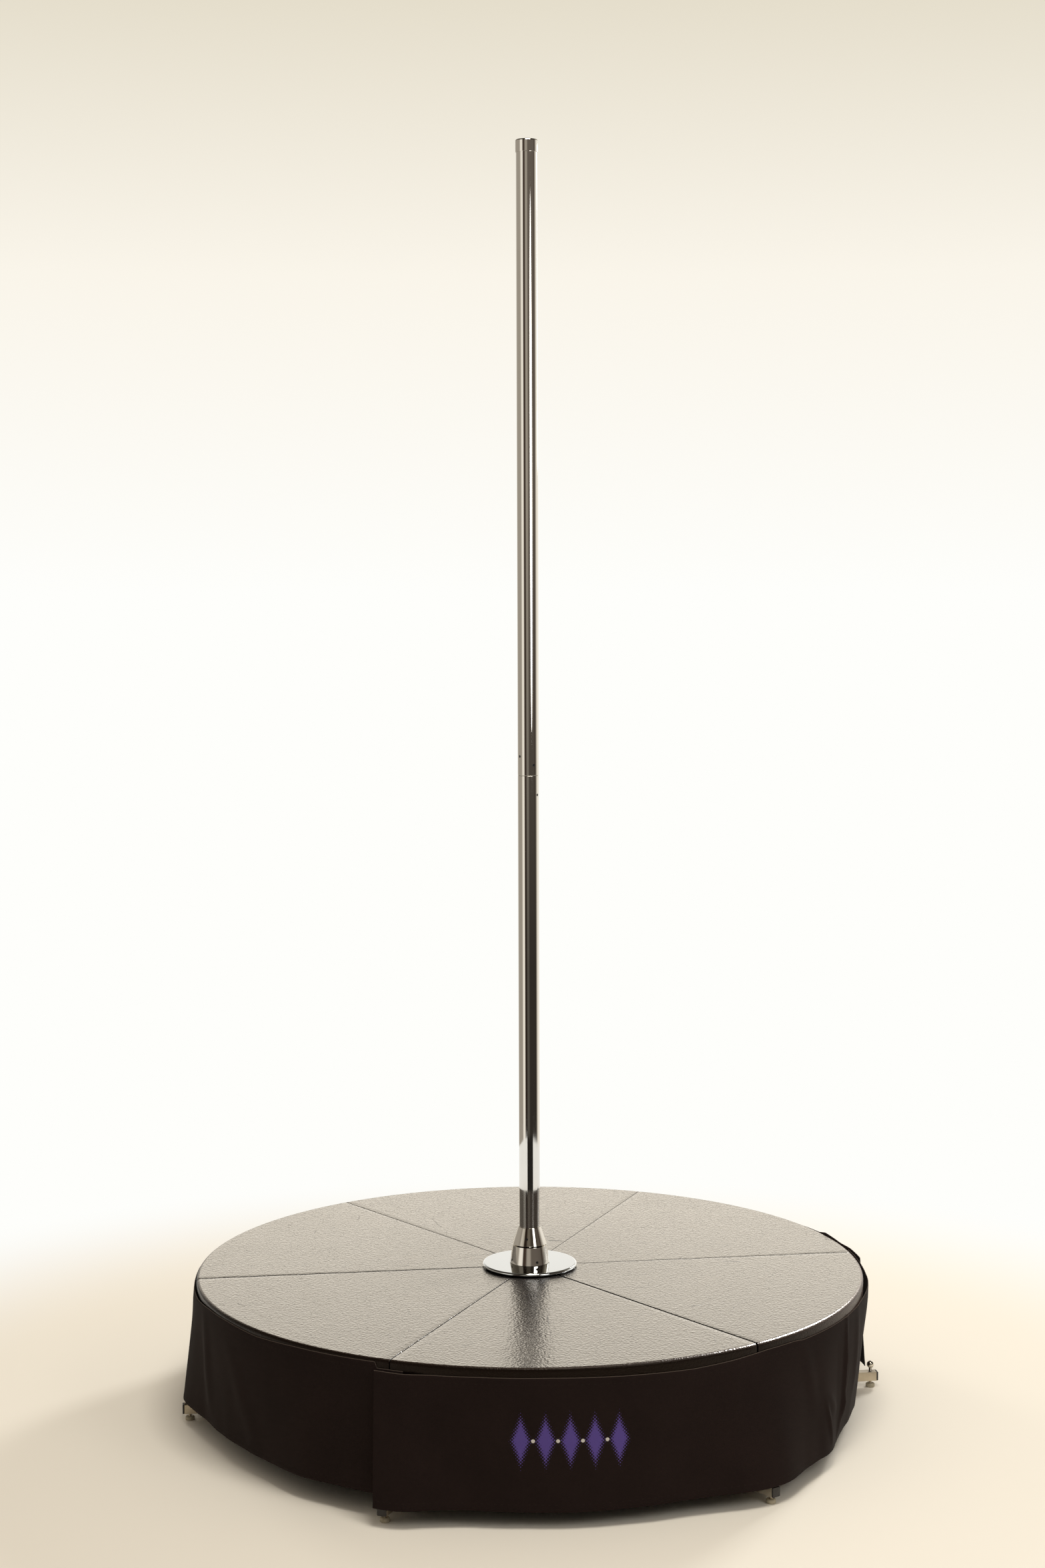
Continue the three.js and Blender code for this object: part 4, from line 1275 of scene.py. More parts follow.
@dataclass
class Skirt:
    """The cloth skirt: three sheets hung from the deck's rim, each over the next at its first edge."""

    top: float = 321.0
    rail_top: float = 39.0
    hem_gap: float = 1.5
    droop: float = 4.0
    rim: float = 800.46
    thickness: float = 1.6
    single: float = 0.35  # how much thinner the cloth is between its doubled hems
    cut_edge: float = 0.5  # how far each face draws in at the cloth's top and bottom edges
    flare: float = 60.0
    fold: float = 8.0
    fold_count: int = 24  # on the whole round
    table_step: float = 15.0
    overlap: float = 4.584  # degrees
    overlap_lift: float = 8.0
    columns: int = 400
    rows: int = 34
    hem: float = 16.0
    # Extra rows of points beside a cut edge and beside a hem, as shares of the way down.
    hem_rows: tuple[float, float] = (0.003, 0.004)
    # Small creases: how many on the round, their size, and how the panel's seed and the way down shift them.
    creases: tuple[tuple[float, ...], ...] = (
        (31, 1.0, 1.0, 1.1), (47, 0.8, 3.0, -2.3), (83, 0.35, -1.0, 3.1))
    crease_depths: tuple[float, float] = (0.3, 2.0)  # everywhere, and with the square of the folds' share
    crease_power: float = 1.3
    # Single folds: degrees at the head and at the foot, millimetres of height at both, half width in
    # degrees, and depth.
    ridges: tuple[tuple[float, ...], ...] = (
        (-33.5, -34.5, 335, 40, 0.65, 7.0), (-31.0, -37.5, 190, 30, 0.7, 4.5),
        (-49.5, -46.0, 330, 120, 1.6, 3.0), (-43.5, -41.0, 165, 45, 0.6, 5.5),
        (-42.5, -38.5, 175, 110, 1.4, 4.0), (-27.0, -26.0, 330, 90, 1.6, 4.0),
        (-167.5, -165.5, 330, 60, 1.8, 5.0), (-156.5, -149.0, 300, 60, 2.2, 3.0),
        (-84.0, -83.0, 330, 230, 1.2, 1.5), (-64.0, -66.0, 325, 180, 1.4, 2.0),
        (31.0, 33.0, 330, 50, 1.6, 5.0), (48.0, 45.0, 330, 120, 2.0, 4.0),
        (77.0, 79.0, 300, 60, 1.8, 4.0), (101.0, 98.0, 330, 90, 1.6, 4.0),
        (146.0, 149.0, 320, 70, 1.8, 4.5))
    # Where the cloth bellies out: degrees, millimetres of height, half width, half height and depth.
    bulges: tuple[tuple[float, ...], ...] = ((-11.0, 300, 10.0, 90, 12.0), (181.0, 310, 12.0, 45, 4.0))
    panels: tuple[Panel, ...] = (
        Panel(Side.FRONT, -120.0, 0.0, (0.95, 0.27, 0.32, 0.34, 1.0, 0.3, -0.34, -0.3, -0.28),
              (0.3, 0.25, 0.2, 0.25, 0.3, 0.35, 0.4, 0.45, 0.5),
              ((-122, -2), (-118, -3), (-106, 0), (-95, 0), (-88, -2), (-72, -6), (-65, -3), (-58, 2),
               (-52.2, 1.5), (-50.5, 0), (-49.5, -2.5), (-38, -4), (-28, -5), (-18, -4), (-9, 0), (-5, 9),
               (-1, 16), (3, 18)),
              (1775.0, 300.0, 0.5), 0.0, 1.6),
        Panel(Side.BACK, 0.0, 20.0, (0.36, 0.2, 0.17, 0.67, 1.07, 0.83, 0.92, 0.67, 0.8),
              (0.35, 0.5, 0.6, 0.6, 0.4, 0.4, 0.4, 0.4, 0.4),
              ((-3, 14), (-1, 16), (6, 20), (12.6, 24), (15, 18), (20, 17), (28, 0), (70, 0), (84, 3),
               (100, -1), (123, 0)),
              (1828.0, 288.0, 0.4825), 2.1, 0.5),
        Panel(Side.LEFT, 120.0, 12.0, (0.8, 0.58, 0.33, 0.42, 0.53, -0.1, -0.2, 0.12, 0.24),
              (0.4, 0.45, 0.5, 0.45, 0.4, 0.35, 0.35, 0.3, 0.3),
              ((117, 0), (138, 0), (143, 7), (160, 7), (170, 10), (178, 2), (188, 1), (195, 8), (204, 10),
               (213, 7), (222, 12), (237.6, 14), (237.9, 1), (243, 0)),
              (1783.0, 285.0, 0.4905), 4.4, 0.5),
    )

    @staticmethod
    def table(shares: Sequence[float], place: np.ndarray) -> np.ndarray:
        """A value read from a table, eased between its entries by a half cosine.

        Args:
            shares: The entries.
            place: Where to read, counted in entries.

        Returns:
            The values, of the same shape as place.
        """
        entries = np.array(shares, float)
        within = np.clip(place, 0, len(entries) - 1)
        entry = np.minimum(np.floor(within).astype(int), len(entries) - 2)
        blend = (1 - np.cos(math.pi * (within - entry))) / 2
        return entries[entry] * (1 - blend) + entries[entry + 1] * blend

    @staticmethod
    def around(turn: np.ndarray) -> np.ndarray:
        """Degrees brought to between -180 and 180."""
        return (turn + 180) % 360 - 180

    def relief(self, turn: np.ndarray, height: np.ndarray) -> np.ndarray:
        """How far single folds and bulges stand out.

        The cloth bellies out by a bell curve of turn and height. A single fold is a bell curve across its
        line, and a half sine wave from its head to its foot.

        Args:
            turn: Degrees round the stage.
            height: Heights above the floor.

        Returns:
            Millimetres outwards.
        """
        out = np.zeros_like(height)
        for middle, level, width, tall, depth in self.bulges:
            away = self.around(turn - middle)
            out += depth * np.exp(-(away / width) ** 2 - ((height - level) / tall) ** 2)
        for head, foot, above, below, width, depth in self.ridges:
            share = np.clip((above - height) / (above - below), 0, 1)
            away = self.around(turn) - head - (foot - head) * share
            out += depth * np.sin(math.pi * share) * np.exp(-(away / width) ** 2)
        return out

    def surface(self, panel: Panel, turn: np.ndarray, down: np.ndarray,
                out: np.ndarray | float) -> np.ndarray:
        """Points on a panel.

        The radius leaves the deck's rim, leans out by the flare, and waves in by the folds, which deepen
        with the square of the way down. Small creases at uneven spacing run down the cloth and fade towards
        the rim. The top edge rides up where it stands proud. The first edge hangs plumb, so its turn grows
        with the way down.

        Args:
            panel: How the panel hangs.
            turn: Degrees round the stage.
            down: Share of the way from the top edge to the hem.
            out: Distance outwards from the cloth's inner face.

        Returns:
            The points, of the arrays' shape with 3 more.
        """
        place = (turn - panel.first) / self.table_step
        flare = self.flare * self.table(panel.flares, place)
        lean = np.where(flare < 0, down * down, down)
        share = self.table(panel.folds, place)
        start = panel.first - self.overlap / 2
        angle = np.radians(turn + panel.slant * down * np.clip(1 - (turn - start) / self.table_step, 0, 1))
        fold = self.fold * share * (np.cos(self.fold_count * angle) - 1) / 2
        ease = np.clip((turn - start - self.overlap) / self.overlap, 0, 1)
        lift = self.overlap_lift * (1 - ease * ease * (3 - 2 * ease))
        least, growth = self.crease_depths
        crease = sum(size * np.sin(count * angle + by_seed * panel.seed + by_drop * down)
                     for count, size, by_seed, by_drop in self.creases) * (least + growth * share * share)
        droop = self.droop * (1 - np.cos(LEGS * angle)) / 2
        hem = self.rail_top + self.hem_gap + panel.lift - droop
        top = self.top + np.interp(turn, *np.array(panel.stands).T)
        height = top + (hem - top) * down
        radius = (self.rim + flare * lean + fold * down * down + lift + crease * down ** self.crease_power
                  + self.relief(turn, height) + out)
        return np.stack([radius * np.cos(angle), radius * np.sin(angle), height], -1)

    def sheet(self, panel: Panel) -> bpy.types.Object:
        """One cloth panel: an outer and an inner face, thicker at its doubled hems, closed along four edges.

        Args:
            panel: How the panel hangs.

        Returns:
            The piece.
        """
        start, drop = panel.first - self.overlap / 2, self.top - self.rail_top
        turn = start + np.linspace(0, 360 / len(Side) + self.overlap, self.columns + 1)
        hem = self.hem / drop
        by_edge, by_hem = self.hem_rows
        extra = [by_edge, hem, hem + by_hem, 1 - hem, 1 - hem - by_hem, 1 - by_edge]
        down = np.unique(np.round(np.concatenate([np.linspace(0, 1, self.rows + 1), extra]), 5))
        turns, downs = np.meshgrid(turn, down, indexing="ij")
        thinner = np.where((downs <= hem) | (downs >= 1 - hem), 0.0, self.single)
        edge = np.where((downs <= 0) | (downs >= 1), self.cut_edge, 0.0)
        outer = self.surface(panel, turns, downs, self.thickness - thinner - edge)
        inner = self.surface(panel, turns, downs, edge)
        plan = np.stack([np.radians(turns - start) * self.rim, (1 - downs) * drop], -1)
        shell = Shell().grid(outer, plan=plan).grid(inner, plan=plan)
        for strip in (0, -1, (slice(None), 0), (slice(None), -1)):
            shell.grid(np.stack([outer[strip], inner[strip]]), plan=np.stack([plan[strip], plan[strip]]))
        name = panel.side.value
        cloth = Stuff.printed_cloth if panel.side is Side.FRONT else Stuff.cloth
        made = settle(shell.piece(f"skirt_cloth_{name}", cloth, with_plan=True), "stage", "skirt_cloth",
                      f"skirt_{name}")
        self.report(made.name, outer)
        width, drop, area = panel.flat
        return made

    @staticmethod
    def report(name: str, face: np.ndarray) -> None:
        """Logs how wide, how long and how large a panel is, measured along its outer face.

        Args:
            name: The panel's name.
            face: The face's points, an array of shape (columns, rows, 3).
        """
        across, along = np.diff(face, axis=0), np.diff(face, axis=1)
        widths, lengths = np.linalg.norm(across, axis=-1).sum(0), np.linalg.norm(along, axis=-1).sum(1)
        area = np.linalg.norm(np.cross(across[:, :-1], along[:-1]), axis=-1).sum() * MM * MM
        log.info("%s hangs %.0f to %.0f mm wide, %.0f mm long, %.4f square metres",
                 name, widths.min(), widths.max(), lengths.max(), area)

    def build(self) -> None:
        """Hangs the three panels."""
        for panel in self.panels:
            self.sheet(panel)


@dataclass
class Leg:
    """One radial leg: a ladder frame of square tube, its end plug, the levelling screw and the pad."""

    index: int
    rail_side: float = 22.0
    corner: float = 1.6
    rail_low: float = 17.0
    reach: float = 837.0
    pull_out: float = 32.0
    foot_inset: float = 17.5
    cap: float = 4.0
    cap_edge: float = 1.2
    cap_break: float = 0.3
    cap_support: float = 0.2
    plug: float = 5.0
    plug_side: float = 17.4
    plug_break: float = 0.6
    plug_corner: float = 2.4
    plug_corner_share: float = 0.25  # of a small section's half side
    stud: float = 4.0
    stud_play: float = 0.02
    stud_foot: float = 6.3
    stud_break: float = 0.6
    thread_pitch: float = 1.25
    thread_depth: float = 0.55
    thread_rows: int = 6  # of points for each pitch
    thread_columns: int = 24
    neck_share: float = 0.92  # of the stud's radius
    shoulder: float = 1.5  # from the thread's end to the ball
    shoulder_rise: float = 0.5
    ball: float = 9.0
    ball_height: float = 56.0
    ball_rows: int = 22
    pad: float = 11.0
    pad_height: float = 10.0
    pad_slope: float = 2.5
    # At the pad's foot, the crown's edge and top, and the socket's mouth and floor.
    pad_edges: tuple[float, ...] = (1.4, 1.0, 0.9, 0.3, 0.2)
    pad_support: float = 0.15
    socket: float = 4.45
    socket_floor: float = 6.0

    @property
    def turn(self) -> float:
        """Degrees from +X to the leg."""
        return 360.0 / LEGS * self.index

    @property
    def end(self) -> float:
        """How far the end plug's face stands from the pole's axis."""
        return self.reach + self.pull_out * (1 + math.cos(math.radians(self.turn))) / 2

    @property
    def screw_axis(self) -> tuple[float, float]:
        """The screw's axis in x and y."""
        foot, angle = self.end - self.foot_inset, math.radians(self.turn)
        return foot * math.cos(angle), foot * math.sin(angle)

    def frame_piece(self) -> bpy.types.Object:
        """The ladder frame from its CAD solid, merged, with the tubes' edges rounded.

        Returns:
            The piece.
        """
        node = f"leg_frame_{self.index + 1}"
        mesh = frame["nodes"][node].data.copy()
        weld(mesh, lambda work: bmesh.ops.dissolve_limit(
            work, angle_limit=math.radians(1), verts=work.verts, edges=work.edges))
        mesh.materials.clear()
        mesh.materials.append(Stuff.rail(self.turn).material())
        mesh.polygons.foreach_set("use_smooth", np.ones(len(mesh.polygons), bool))
        made = add_object(f"ladder_{node.removeprefix('leg_')}", mesh)
        bevel = made.modifiers.new("rounded_edges", "BEVEL")
        bevel.width, bevel.segments, bevel.limit_method = self.corner * MM, 3, "ANGLE"
        bevel.angle_limit, bevel.harden_normals = math.radians(60), True
        return settle(made, "stage", "satin_steel", node)

    def square(self, half: float) -> np.ndarray:
        """A rounded square about the rail's centre line.

        Args:
            half: Half its side.

        Returns:
            Its closed outline of (y, z).
        """
        radius = min(self.plug_corner, half * self.plug_corner_share)
        corners = [(-half, -half, radius), (half, -half, radius), (half, half, radius), (-half, half, radius)]
        middle = self.rail_low + self.rail_side / 2
        return closed(rounded(corners, steps=4, support=self.cap_support)) + [0, middle]

    def plug_piece(self) -> bpy.types.Object:
        """The end plug: rounded squares carried outwards, and drawn in by a quarter circle round its face.

        Returns:
            The piece.
        """
        half, shaft, face, e = self.rail_side / 2, self.plug_side / 2, self.end, self.cap_edge
        back = face - self.cap
        stations = [
            (back - self.plug, shaft - self.plug_break), (back - self.plug + self.plug_break, shaft),
            (back, shaft), (back, half - self.cap_break), (back + self.cap_break, half),
            (face - e - self.cap_support, half)]
        stations += [(face - e + e * math.sin(a), half - e + e * math.cos(a)) for a in QUARTER]
        loops = [self.square(size) for _, size in stations]
        places = np.array([place for place, _ in stations])[:, None, None]
        loops = np.concatenate([np.broadcast_to(places, (len(loops), len(loops[0]), 1)), np.stack(loops)], -1)
        loops = turned(loops, self.turn)
        made = Shell().grid(loops).lid(loops[0, :-1]).lid(loops[-1, :-1]).piece(
            f"rail_plug_{self.index + 1}", Stuff.plug)
        return settle(made, "stage", "black_plastic", f"end_cap_{self.index + 1}")

    def screw_piece(self) -> bpy.types.Object:
        """The levelling screw: a threaded stud and a ball knob.

        The thread's radius is the stud's less its depth times the distance of (height / pitch - turn) from
        a whole number, doubled, so that its crest climbs one pitch for each turn.

        Returns:
            The piece.
        """
        stud, neck = self.stud - self.stud_play, self.stud * self.neck_share
        neck_angle = math.asin(neck / self.ball)
        low = self.stud_foot + self.stud_break
        high = self.ball_height - self.ball * math.cos(neck_angle) - self.shoulder
        turn = np.linspace(0, ROUND, self.thread_columns + 1)[:, None]
        rows = round((high - low) / self.thread_pitch * self.thread_rows) + 1
        height = np.linspace(low, high, rows)[None]
        phase = height / self.thread_pitch - turn / ROUND
        depth = self.thread_depth * 2 * np.abs(phase - np.round(phase))
        fade = np.clip(np.minimum(height - low, high - height) / self.thread_pitch, 0, 1)
        radius = stud - depth * fade
        x, y = self.screw_axis
        thread = np.stack([x + radius * np.cos(turn), y + radius * np.sin(turn), height + 0 * turn], -1)
        shell = Shell().grid(thread)
        arc = np.linspace(neck_angle - math.pi / 2, math.pi / 2, self.ball_rows)
        ball = np.stack([self.ball * np.cos(arc), self.ball_height + self.ball * np.sin(arc)], -1)
        ball[-1, 0] = 0
        upper = np.concatenate([[[stud, high], [neck, high + self.shoulder_rise]], ball])
        lower = np.array([[0, self.stud_foot], [self.stud - self.stud_break, self.stud_foot], [stud, low]])
        for profile in (upper, lower):
            shell.grid(revolved(profile, self.thread_columns, (x, y)))
        k = self.index + 1
        made = shell.piece(f"levelling_screw_{k}", Stuff.zinc)
        return settle(made, f"screw_{k}", "chrome", f"foot_screw_{k}")

    def pad_piece(self) -> bpy.types.Object:
        """The pad: a moulded disc with a rounded foot, a sloping crown and a socket for the screw.

        Returns:
            The piece.
        """
        corners = [(self.pad, 0), (self.pad, self.pad_height - self.pad_slope),
                   (self.pad - self.pad_slope, self.pad_height), (self.socket, self.pad_height),
                   (self.socket, self.socket_floor)]
        edges = [(*corner, edge) for corner, edge in zip(corners, self.pad_edges)]
        profile = rounded([(0, 0, 0), *edges, (0, self.socket_floor, 0)], steps=4, support=self.pad_support)
        k = self.index + 1
        shell = Shell().grid(revolved(profile, 40, self.screw_axis))
        return settle(shell.piece(f"nylon_pad_{k}", Stuff.pad), f"pad_{k}", "pad_plastic", f"foot_pad_{k}")

    def build(self) -> None:
        """Makes the frame, the plug, the screw and the pad."""
        self.frame_piece()
        self.plug_piece()
        self.screw_piece()
        self.pad_piece()


# The photograph: camera, floor, backdrop and lamps


@dataclass(frozen=True)
class PhotoCamera:
    """The camera of the photograph, worked out from the picture, in metres and in its pixels."""

    place: tuple[float, float, float] = (-0.82694, -5.81900, 1.96482)
    ahead: tuple[float, float, float] = (0.137941, 0.987421, -0.077290)
    up: tuple[float, float, float] = (0.013752, 0.076119, 0.997004)
    focal_pixels: float = 3709.09
    picture_height: float = 2352.0
    sensor_height: float = 36.0
    far: float = 100.0

    def build(self) -> None:
        """Makes the camera and sets it as the scene's."""
        data = bpy.data.cameras.new("photo_camera")
        data.sensor_fit = "VERTICAL"
        data.sensor_height = self.sensor_height
        data.lens = self.focal_pixels * self.sensor_height / self.picture_height
        data.clip_end = self.far
        made = add_object("photo_camera", data)
        ahead, up = Vector(self.ahead).normalized(), Vector(self.up).normalized()
        right = ahead.cross(up).normalized()
        axes = Matrix((right, right.cross(ahead), -ahead)).transposed()
        made.matrix_world = Matrix.Translation(self.place) @ axes.to_4x4()
        bpy.context.scene.camera = made


@dataclass(frozen=True)
class Lamp:
    """A softbox. It stands to the right of the pole, beyond it and above the floor, in metres."""

    name: str
    right: float
    beyond: float
    height: float
    width: float
    tall: float
    watts: float
    aim_height: float = 0.4
    colour: str = "#FFFDF9"
    oval: bool = False
    mirrored: bool = True
    lights_matt: bool = True  # whether it lights matt surfaces, or only shows in mirrors
    only_on: str = ""  # the start of the names of the only pieces that it lights, or nothing for all


@dataclass
class Studio:
    """A pale paper floor that fades into a white backdrop, softboxes and a plain room, in metres."""

    view: tuple[float, float] = (0.138354, 0.990383)  # the camera's way of looking, over the floor
    floor_radius: float = 2.9
    floor_beyond: float = -0.1  # how far beyond the pole its centre lies
    floor_segments: int = 96
    floor_colour: str = "#F6F1E6"
    fade_from: float = 1.4
    fade_to: float = 2.45
    white: str = "#FEFEFB"
    mat_reach: tuple[float, float] = (1.9, 3.0)  # metres from the pole, on the camera's side
    mat_turn: tuple[float, float] = (-22.0, 40.0)  # degrees round from the camera's direction
    mat_height: float = 2.0  # millimetres
    plain_light: float = 0.44
    plain_colour: str = "#FFF3E3"
    # The room that mirrors see is made of four plain tones.
    bright: str = "#FFFAF0"
    wall: str = "#A8A196"
    dim: str = "#6A625A"
    curtain: str = "#443830"
    # Grey levels that darken the room below eye level on the camera's side, and upwards to the ceiling.
    low_greys: tuple[tuple[float, str], ...] = (
        (0.38, "#FFFFFF"), (0.43, "#8C8C8C"), (0.72, "#8C8C8C"), (0.78, "#FFFFFF"))
    ceiling_greys: tuple[tuple[float, str], ...] = (
        (0.0, "#FFFFFF"), (0.3, "#B4B0A8"), (0.6, "#7D7973"), (1.0, "#5E5B56"))
    lamps: tuple[Lamp, ...] = (
        Lamp("key_softbox", 3.6, 4.9, 3.3, 1.0, 1.0, 180.0, mirrored=False),
        Lamp("key_glow", 3.6, 4.9, 3.3, 1.6, 1.6, 30.0),
        # Draws the glint along the deck's right-hand rim.
        Lamp("rim_glint", 3.2, 2.2, 3.6, 1.0, 1.0, 2200.0, only_on="deck_board_"),
        # The lit backdrop as the deck and the flange plate mirror it.
        Lamp("lit_backdrop", 0.0, 4.4, 1.9, 7.0, 2.6, 91.0, 1.3, "#FFF3DF", lights_matt=False,
             only_on="deck_board_"),
        Lamp("plate_glow", 0.0, 4.4, 1.9, 7.0, 2.6, 16.5, 1.3, "#FBFCFF", lights_matt=False,
             only_on="flange_"),
        Lamp("front_right_softbox", 2.2, -2.75, 2.43, 1.5, 2.0, 23.0, 2.1, oval=True),
        Lamp("overhead_softbox", 0.4, -1.4, 4.4, 1.4, 1.4, 76.0, 0.3, "#FFF9EE"),
        Lamp("back_left_softbox", -2.6, 3.2, 2.6, 1.0, 1.0, 26.0, 0.0, "#FFF9EE", mirrored=False),
    )

    @property
    def ahead(self) -> np.ndarray:
        """The camera's way of looking, level."""
        return np.array([*self.view, 0.0])

    @property
    def right(self) -> np.ndarray:
        """The way to the camera's right, level."""
        return np.array([self.view[1], -self.view[0], 0.0])

    @staticmethod
    def flat_object(name: str, points: np.ndarray, material: bpy.types.Material) -> bpy.types.Object:
        """A flat piece of the studio that faces up.

        Args:
            name: Its name.
            points: A grid of points in millimetres, an array of shape (rows, columns, 3).
            material: What it is made of.

        Returns:
            The object.
        """
        mesh = bpy.data.meshes.new(name)
        mesh.from_pydata((points.reshape(-1, 3) * MM).tolist(), [], quads(*points.shape[:2]).tolist())
        weld(mesh)
        if mesh.polygons[0].normal.z < 0:
            mesh.flip_normals()
        mesh.materials.append(material)
        made = add_object(name, mesh)
        return made

    def paper(self, centre: np.ndarray) -> bpy.types.Material:
        """Matt background paper: pale and even, without shine, so that it shows only the object's shadow.

        It turns into the white backdrop away from its centre, for the camera and for mirrors.

        Args:
            centre: The floor's centre in metres.

        Returns:
            The material.
        """
        made = bpy.data.materials.new("matt_paper_floor")
        made.use_nodes = True
        nodes, add = made.node_tree.nodes, partial(add_node, made.node_tree)
        shader = nodes["Principled BSDF"]
        fill(shader, {"Base Color": linear(self.floor_colour), "Roughness": 0.9, "Specular IOR Level": 0.0})
        where = add("TexCoord", {}, "Object")
        centred = add("VectorMath", {0: where, 1: tuple(centre)}, operation="SUBTRACT")
        out = add("VectorMath", {0: centred}, "Value", operation="LENGTH")
        far = add("MapRange", {"Value": out, "From Min": self.fade_from, "From Max": self.fade_to},
                  interpolation_type="SMOOTHSTEP")
        rays = add("LightPath", {}).node.outputs
        seen = add("Math", {0: rays["Is Camera Ray"], 1: rays["Is Glossy Ray"]}, operation="ADD",
                   use_clamp=True)
        share = add("Math", {0: far, 1: seen}, operation="MULTIPLY")
        glow = add("Emission", {"Color": linear(self.white), "Strength": 1.0})
        mixed = add("MixShader", {0: share, 1: shader.outputs["BSDF"], 2: glow})
        fill(nodes["Material Output"], {"Surface": mixed})
        return made

    def floor(self) -> None:
        """A disc of floor."""
        profile = np.array([[0.0, 0.0], [self.floor_radius / MM, 0.0]])
        centre = self.ahead * self.floor_beyond
        points = revolved(profile, self.floor_segments) + centre / MM
        self.flat_object("paper_floor", points, self.paper(centre))

    def mat(self) -> None:
        """A dark mat on the camera's side. Only mirrors see it: it draws the dark line up the pole's foot."""
        turns = np.radians(np.linspace(*self.mat_turn, 7))
        radius, turn = np.meshgrid(np.array(self.mat_reach) / MM, turns, indexing="ij")
        across, back = radius * np.sin(turn), radius * np.cos(turn)
        points = across[..., None] * self.right - back[..., None] * self.ahead
        points[..., 2] = self.mat_height
        made = self.flat_object("dark_mat", points, Stuff.wool.material())
        made.visible_camera = made.visible_diffuse = made.visible_shadow = False

    def room(self, add: Add, way: Socket, rise: Socket) -> Socket:
        """The room that mirrors see.

        Its tones stand round from straight behind the pole, over the left, to the camera's side at 0.5: the
        backdrop, a side wall, a light panel, a dark curtain, a lit wall, the dim side where the camera
        stands, a curtain, a wall and the backdrop again.

        Args:
            add: Adds a node to the world.
            way: The direction that is looked at.
            rise: How far it points up.

        Returns:
            The colour.
        """
        right, ahead = (add("VectorMath", {0: way, 1: tuple(axis)}, "Value", operation="DOT_PRODUCT")
                        for axis in (self.right, self.ahead))
        towards = add("Math", {0: ahead, 1: -1.0}, operation="MULTIPLY")
        turn = add("Math", {0: right, 1: towards}, operation="ARCTAN2")
        around = add("MapRange", {"Value": turn, "From Min": -math.pi, "From Max": math.pi})
        tones = add("ValToRGB", {"Fac": around}, stops=(
            (0.0, self.bright), (0.12, self.wall), (0.29, self.wall), (0.32, self.bright),
            (0.37, self.bright), (0.39, self.curtain), (0.43, self.curtain), (0.46, self.wall),
            (0.5, self.wall), (0.53, self.dim), (0.7, self.dim), (0.73, self.curtain),
            (0.77, self.wall), (0.82, self.bright), (1.0, self.bright)))
        low = add("ValToRGB", {"Fac": around}, stops=self.low_greys)
        downward = add("MapRange", {"Value": rise, "From Min": 0.05, "From Max": -0.15})
        walls = add("Mix", {0: downward, 6: tones, 7: low}, 2, data_type="RGBA", blend_type="MULTIPLY")
        above = add("MapRange", {"Value": rise, "From Min": 0.2, "From Max": 0.65})
        ceiling = add("ValToRGB", {"Fac": above}, stops=self.ceiling_greys)
        return add("Mix", {0: 1.0, 6: walls, 7: ceiling}, 2, data_type="RGBA", blend_type="MULTIPLY")

    def world(self) -> None:
        """The backdrop for the camera, the room for mirrors, and plain light from above for all else."""
        world = bpy.data.worlds.new("studio")
        bpy.context.scene.world = world
        world.use_nodes = True
        world.node_tree.nodes.remove(world.node_tree.nodes["Background"])
        add = partial(add_node, world.node_tree)
        way = add("TexCoord", {}, "Generated")
        rise = add("SeparateXYZ", {"Vector": way}, "Z")
        lifted = add("MapRange", {"Value": rise, "From Min": 0.0, "From Max": 0.25})
        sky = add("ValToRGB", {"Fac": lifted}, stops=((0.0, self.white), (0.5, "#FAF5EA"), (1.0, "#E0D8C4")))
        overhead = add("MapRange", {
            "Value": rise, "From Min": 0.02, "From Max": 0.5, "To Max": self.plain_light},
            interpolation_type="SMOOTHSTEP")
        plain = add("Background", {"Color": linear(self.plain_colour), "Strength": overhead})
        mirrored = add("Background", {"Color": self.room(add, way, rise), "Strength": 1.0})
        backdrop = add("Background", {"Color": sky, "Strength": 1.0})
        rays = add("LightPath", {}).node.outputs
        lit = add("MixShader", {0: rays["Is Glossy Ray"], 1: plain, 2: mirrored})
        clear = add("Math", {0: rays["Is Camera Ray"], 1: rays["Is Transmission Ray"]}, operation="ADD",
                    use_clamp=True)
        seen = add("MixShader", {0: clear, 1: lit, 2: backdrop})
        fill(world.node_tree.nodes["World Output"], {"Surface": seen})

    def lamp(self, lamp: Lamp) -> None:
        """Makes one softbox aimed at the pole's axis.

        Args:
            lamp: The softbox. Where it lights only some pieces, those are made before it.
        """
        data = bpy.data.lights.new(lamp.name, "AREA")
        data.shape = "ELLIPSE" if lamp.oval else "RECTANGLE"
        data.size, data.size_y = lamp.width, lamp.tall
        data.energy = lamp.watts
        data.color = linear(lamp.colour)[:3]
        made = add_object(lamp.name, data)
        place = Vector(self.right * lamp.right + self.ahead * lamp.beyond + np.array([0, 0, lamp.height]))
        aim = Vector((0, 0, lamp.aim_height)) - place
        made.rotation_euler = aim.to_track_quat("-Z", "Y").to_euler()
        made.location = place
        made.visible_camera = False
        made.visible_glossy = lamp.mirrored
        made.visible_diffuse = lamp.lights_matt
        if lamp.only_on:
            lit = bpy.data.collections.new(f"lit_by_{lamp.name}")
            for piece in bpy.data.objects:
                if piece.name.startswith(lamp.only_on):
                    lit.objects.link(piece)
            made.light_linking.receiver_collection = lit

    def build(self) -> None:
        """Sets the floor, the world and the plain view transform."""
        self.floor()
        self.mat()
        self.world()
        bpy.context.scene.view_settings.view_transform = "Standard"

    def light(self) -> None:
        """Sets the lamps, once the pieces that some of them light are made."""
        for lamp in self.lamps:
            self.lamp(lamp)


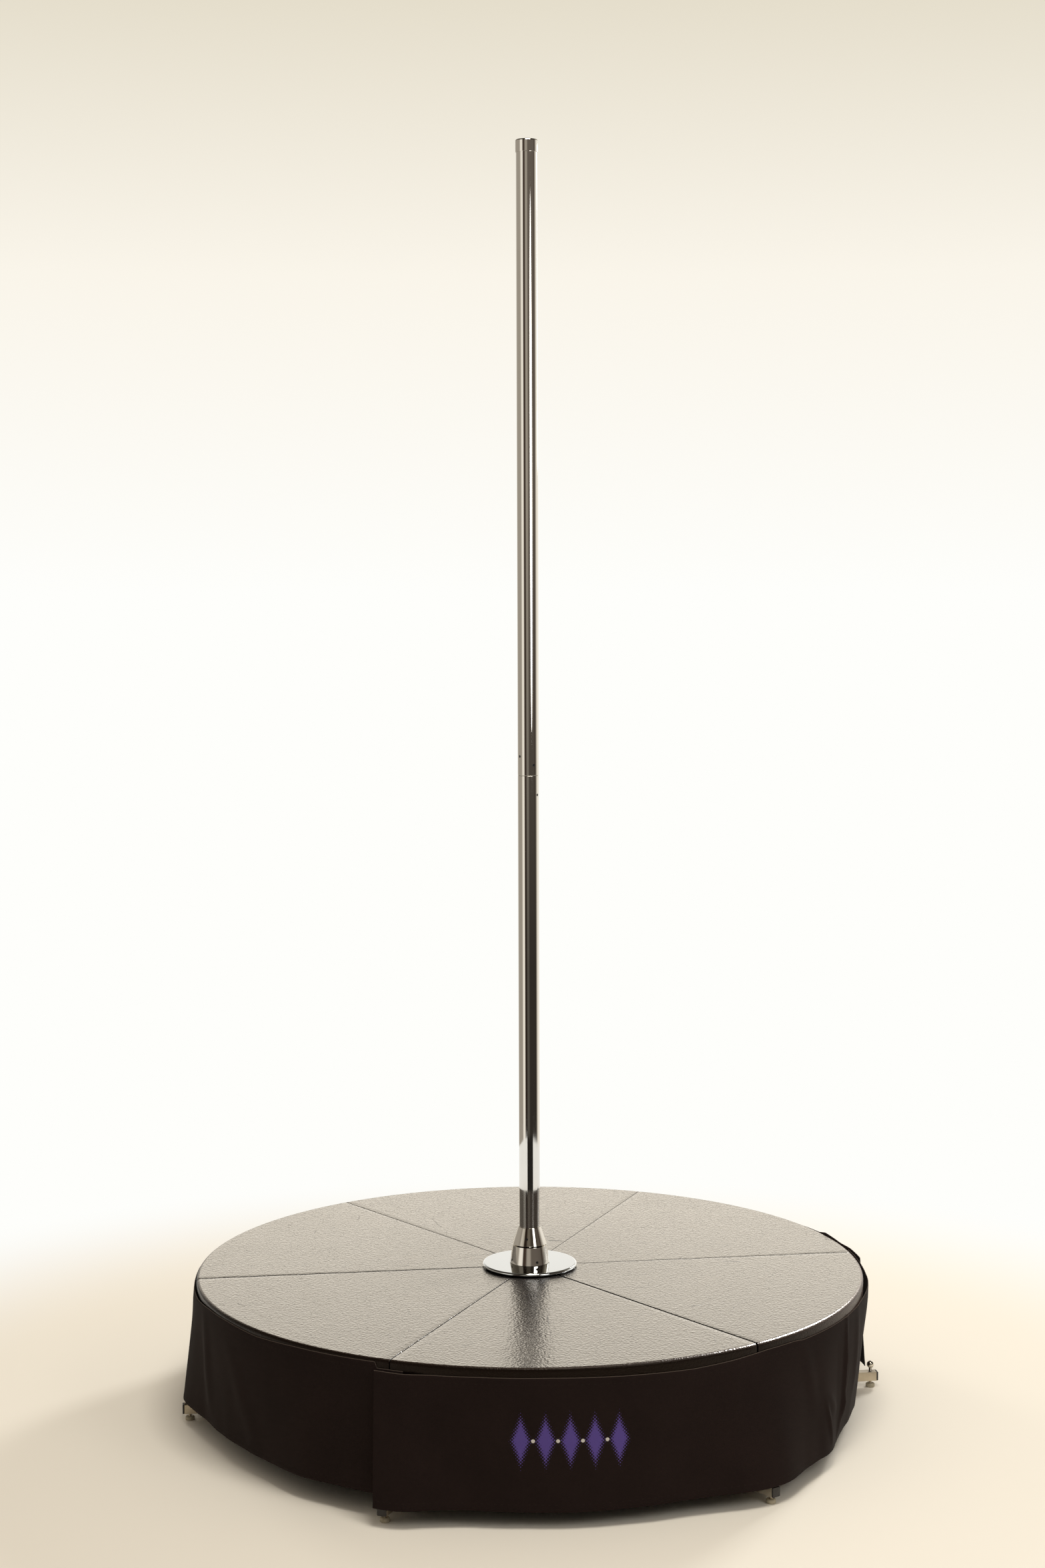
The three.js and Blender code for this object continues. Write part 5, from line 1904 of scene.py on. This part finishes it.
def main() -> None:
    """Builds the photograph's studio and every sub-assembly."""
    logging.basicConfig(level=logging.INFO, format="%(message)s")
    PhotoCamera().build()
    studio = Studio()
    studio.build()
    for assembly in (Pole(), Foot(), Hub(), Deck(), Skirt(), *(Leg(index) for index in range(LEGS))):
        assembly.build()
    studio.light()


if __name__ == "__main__":
    main()
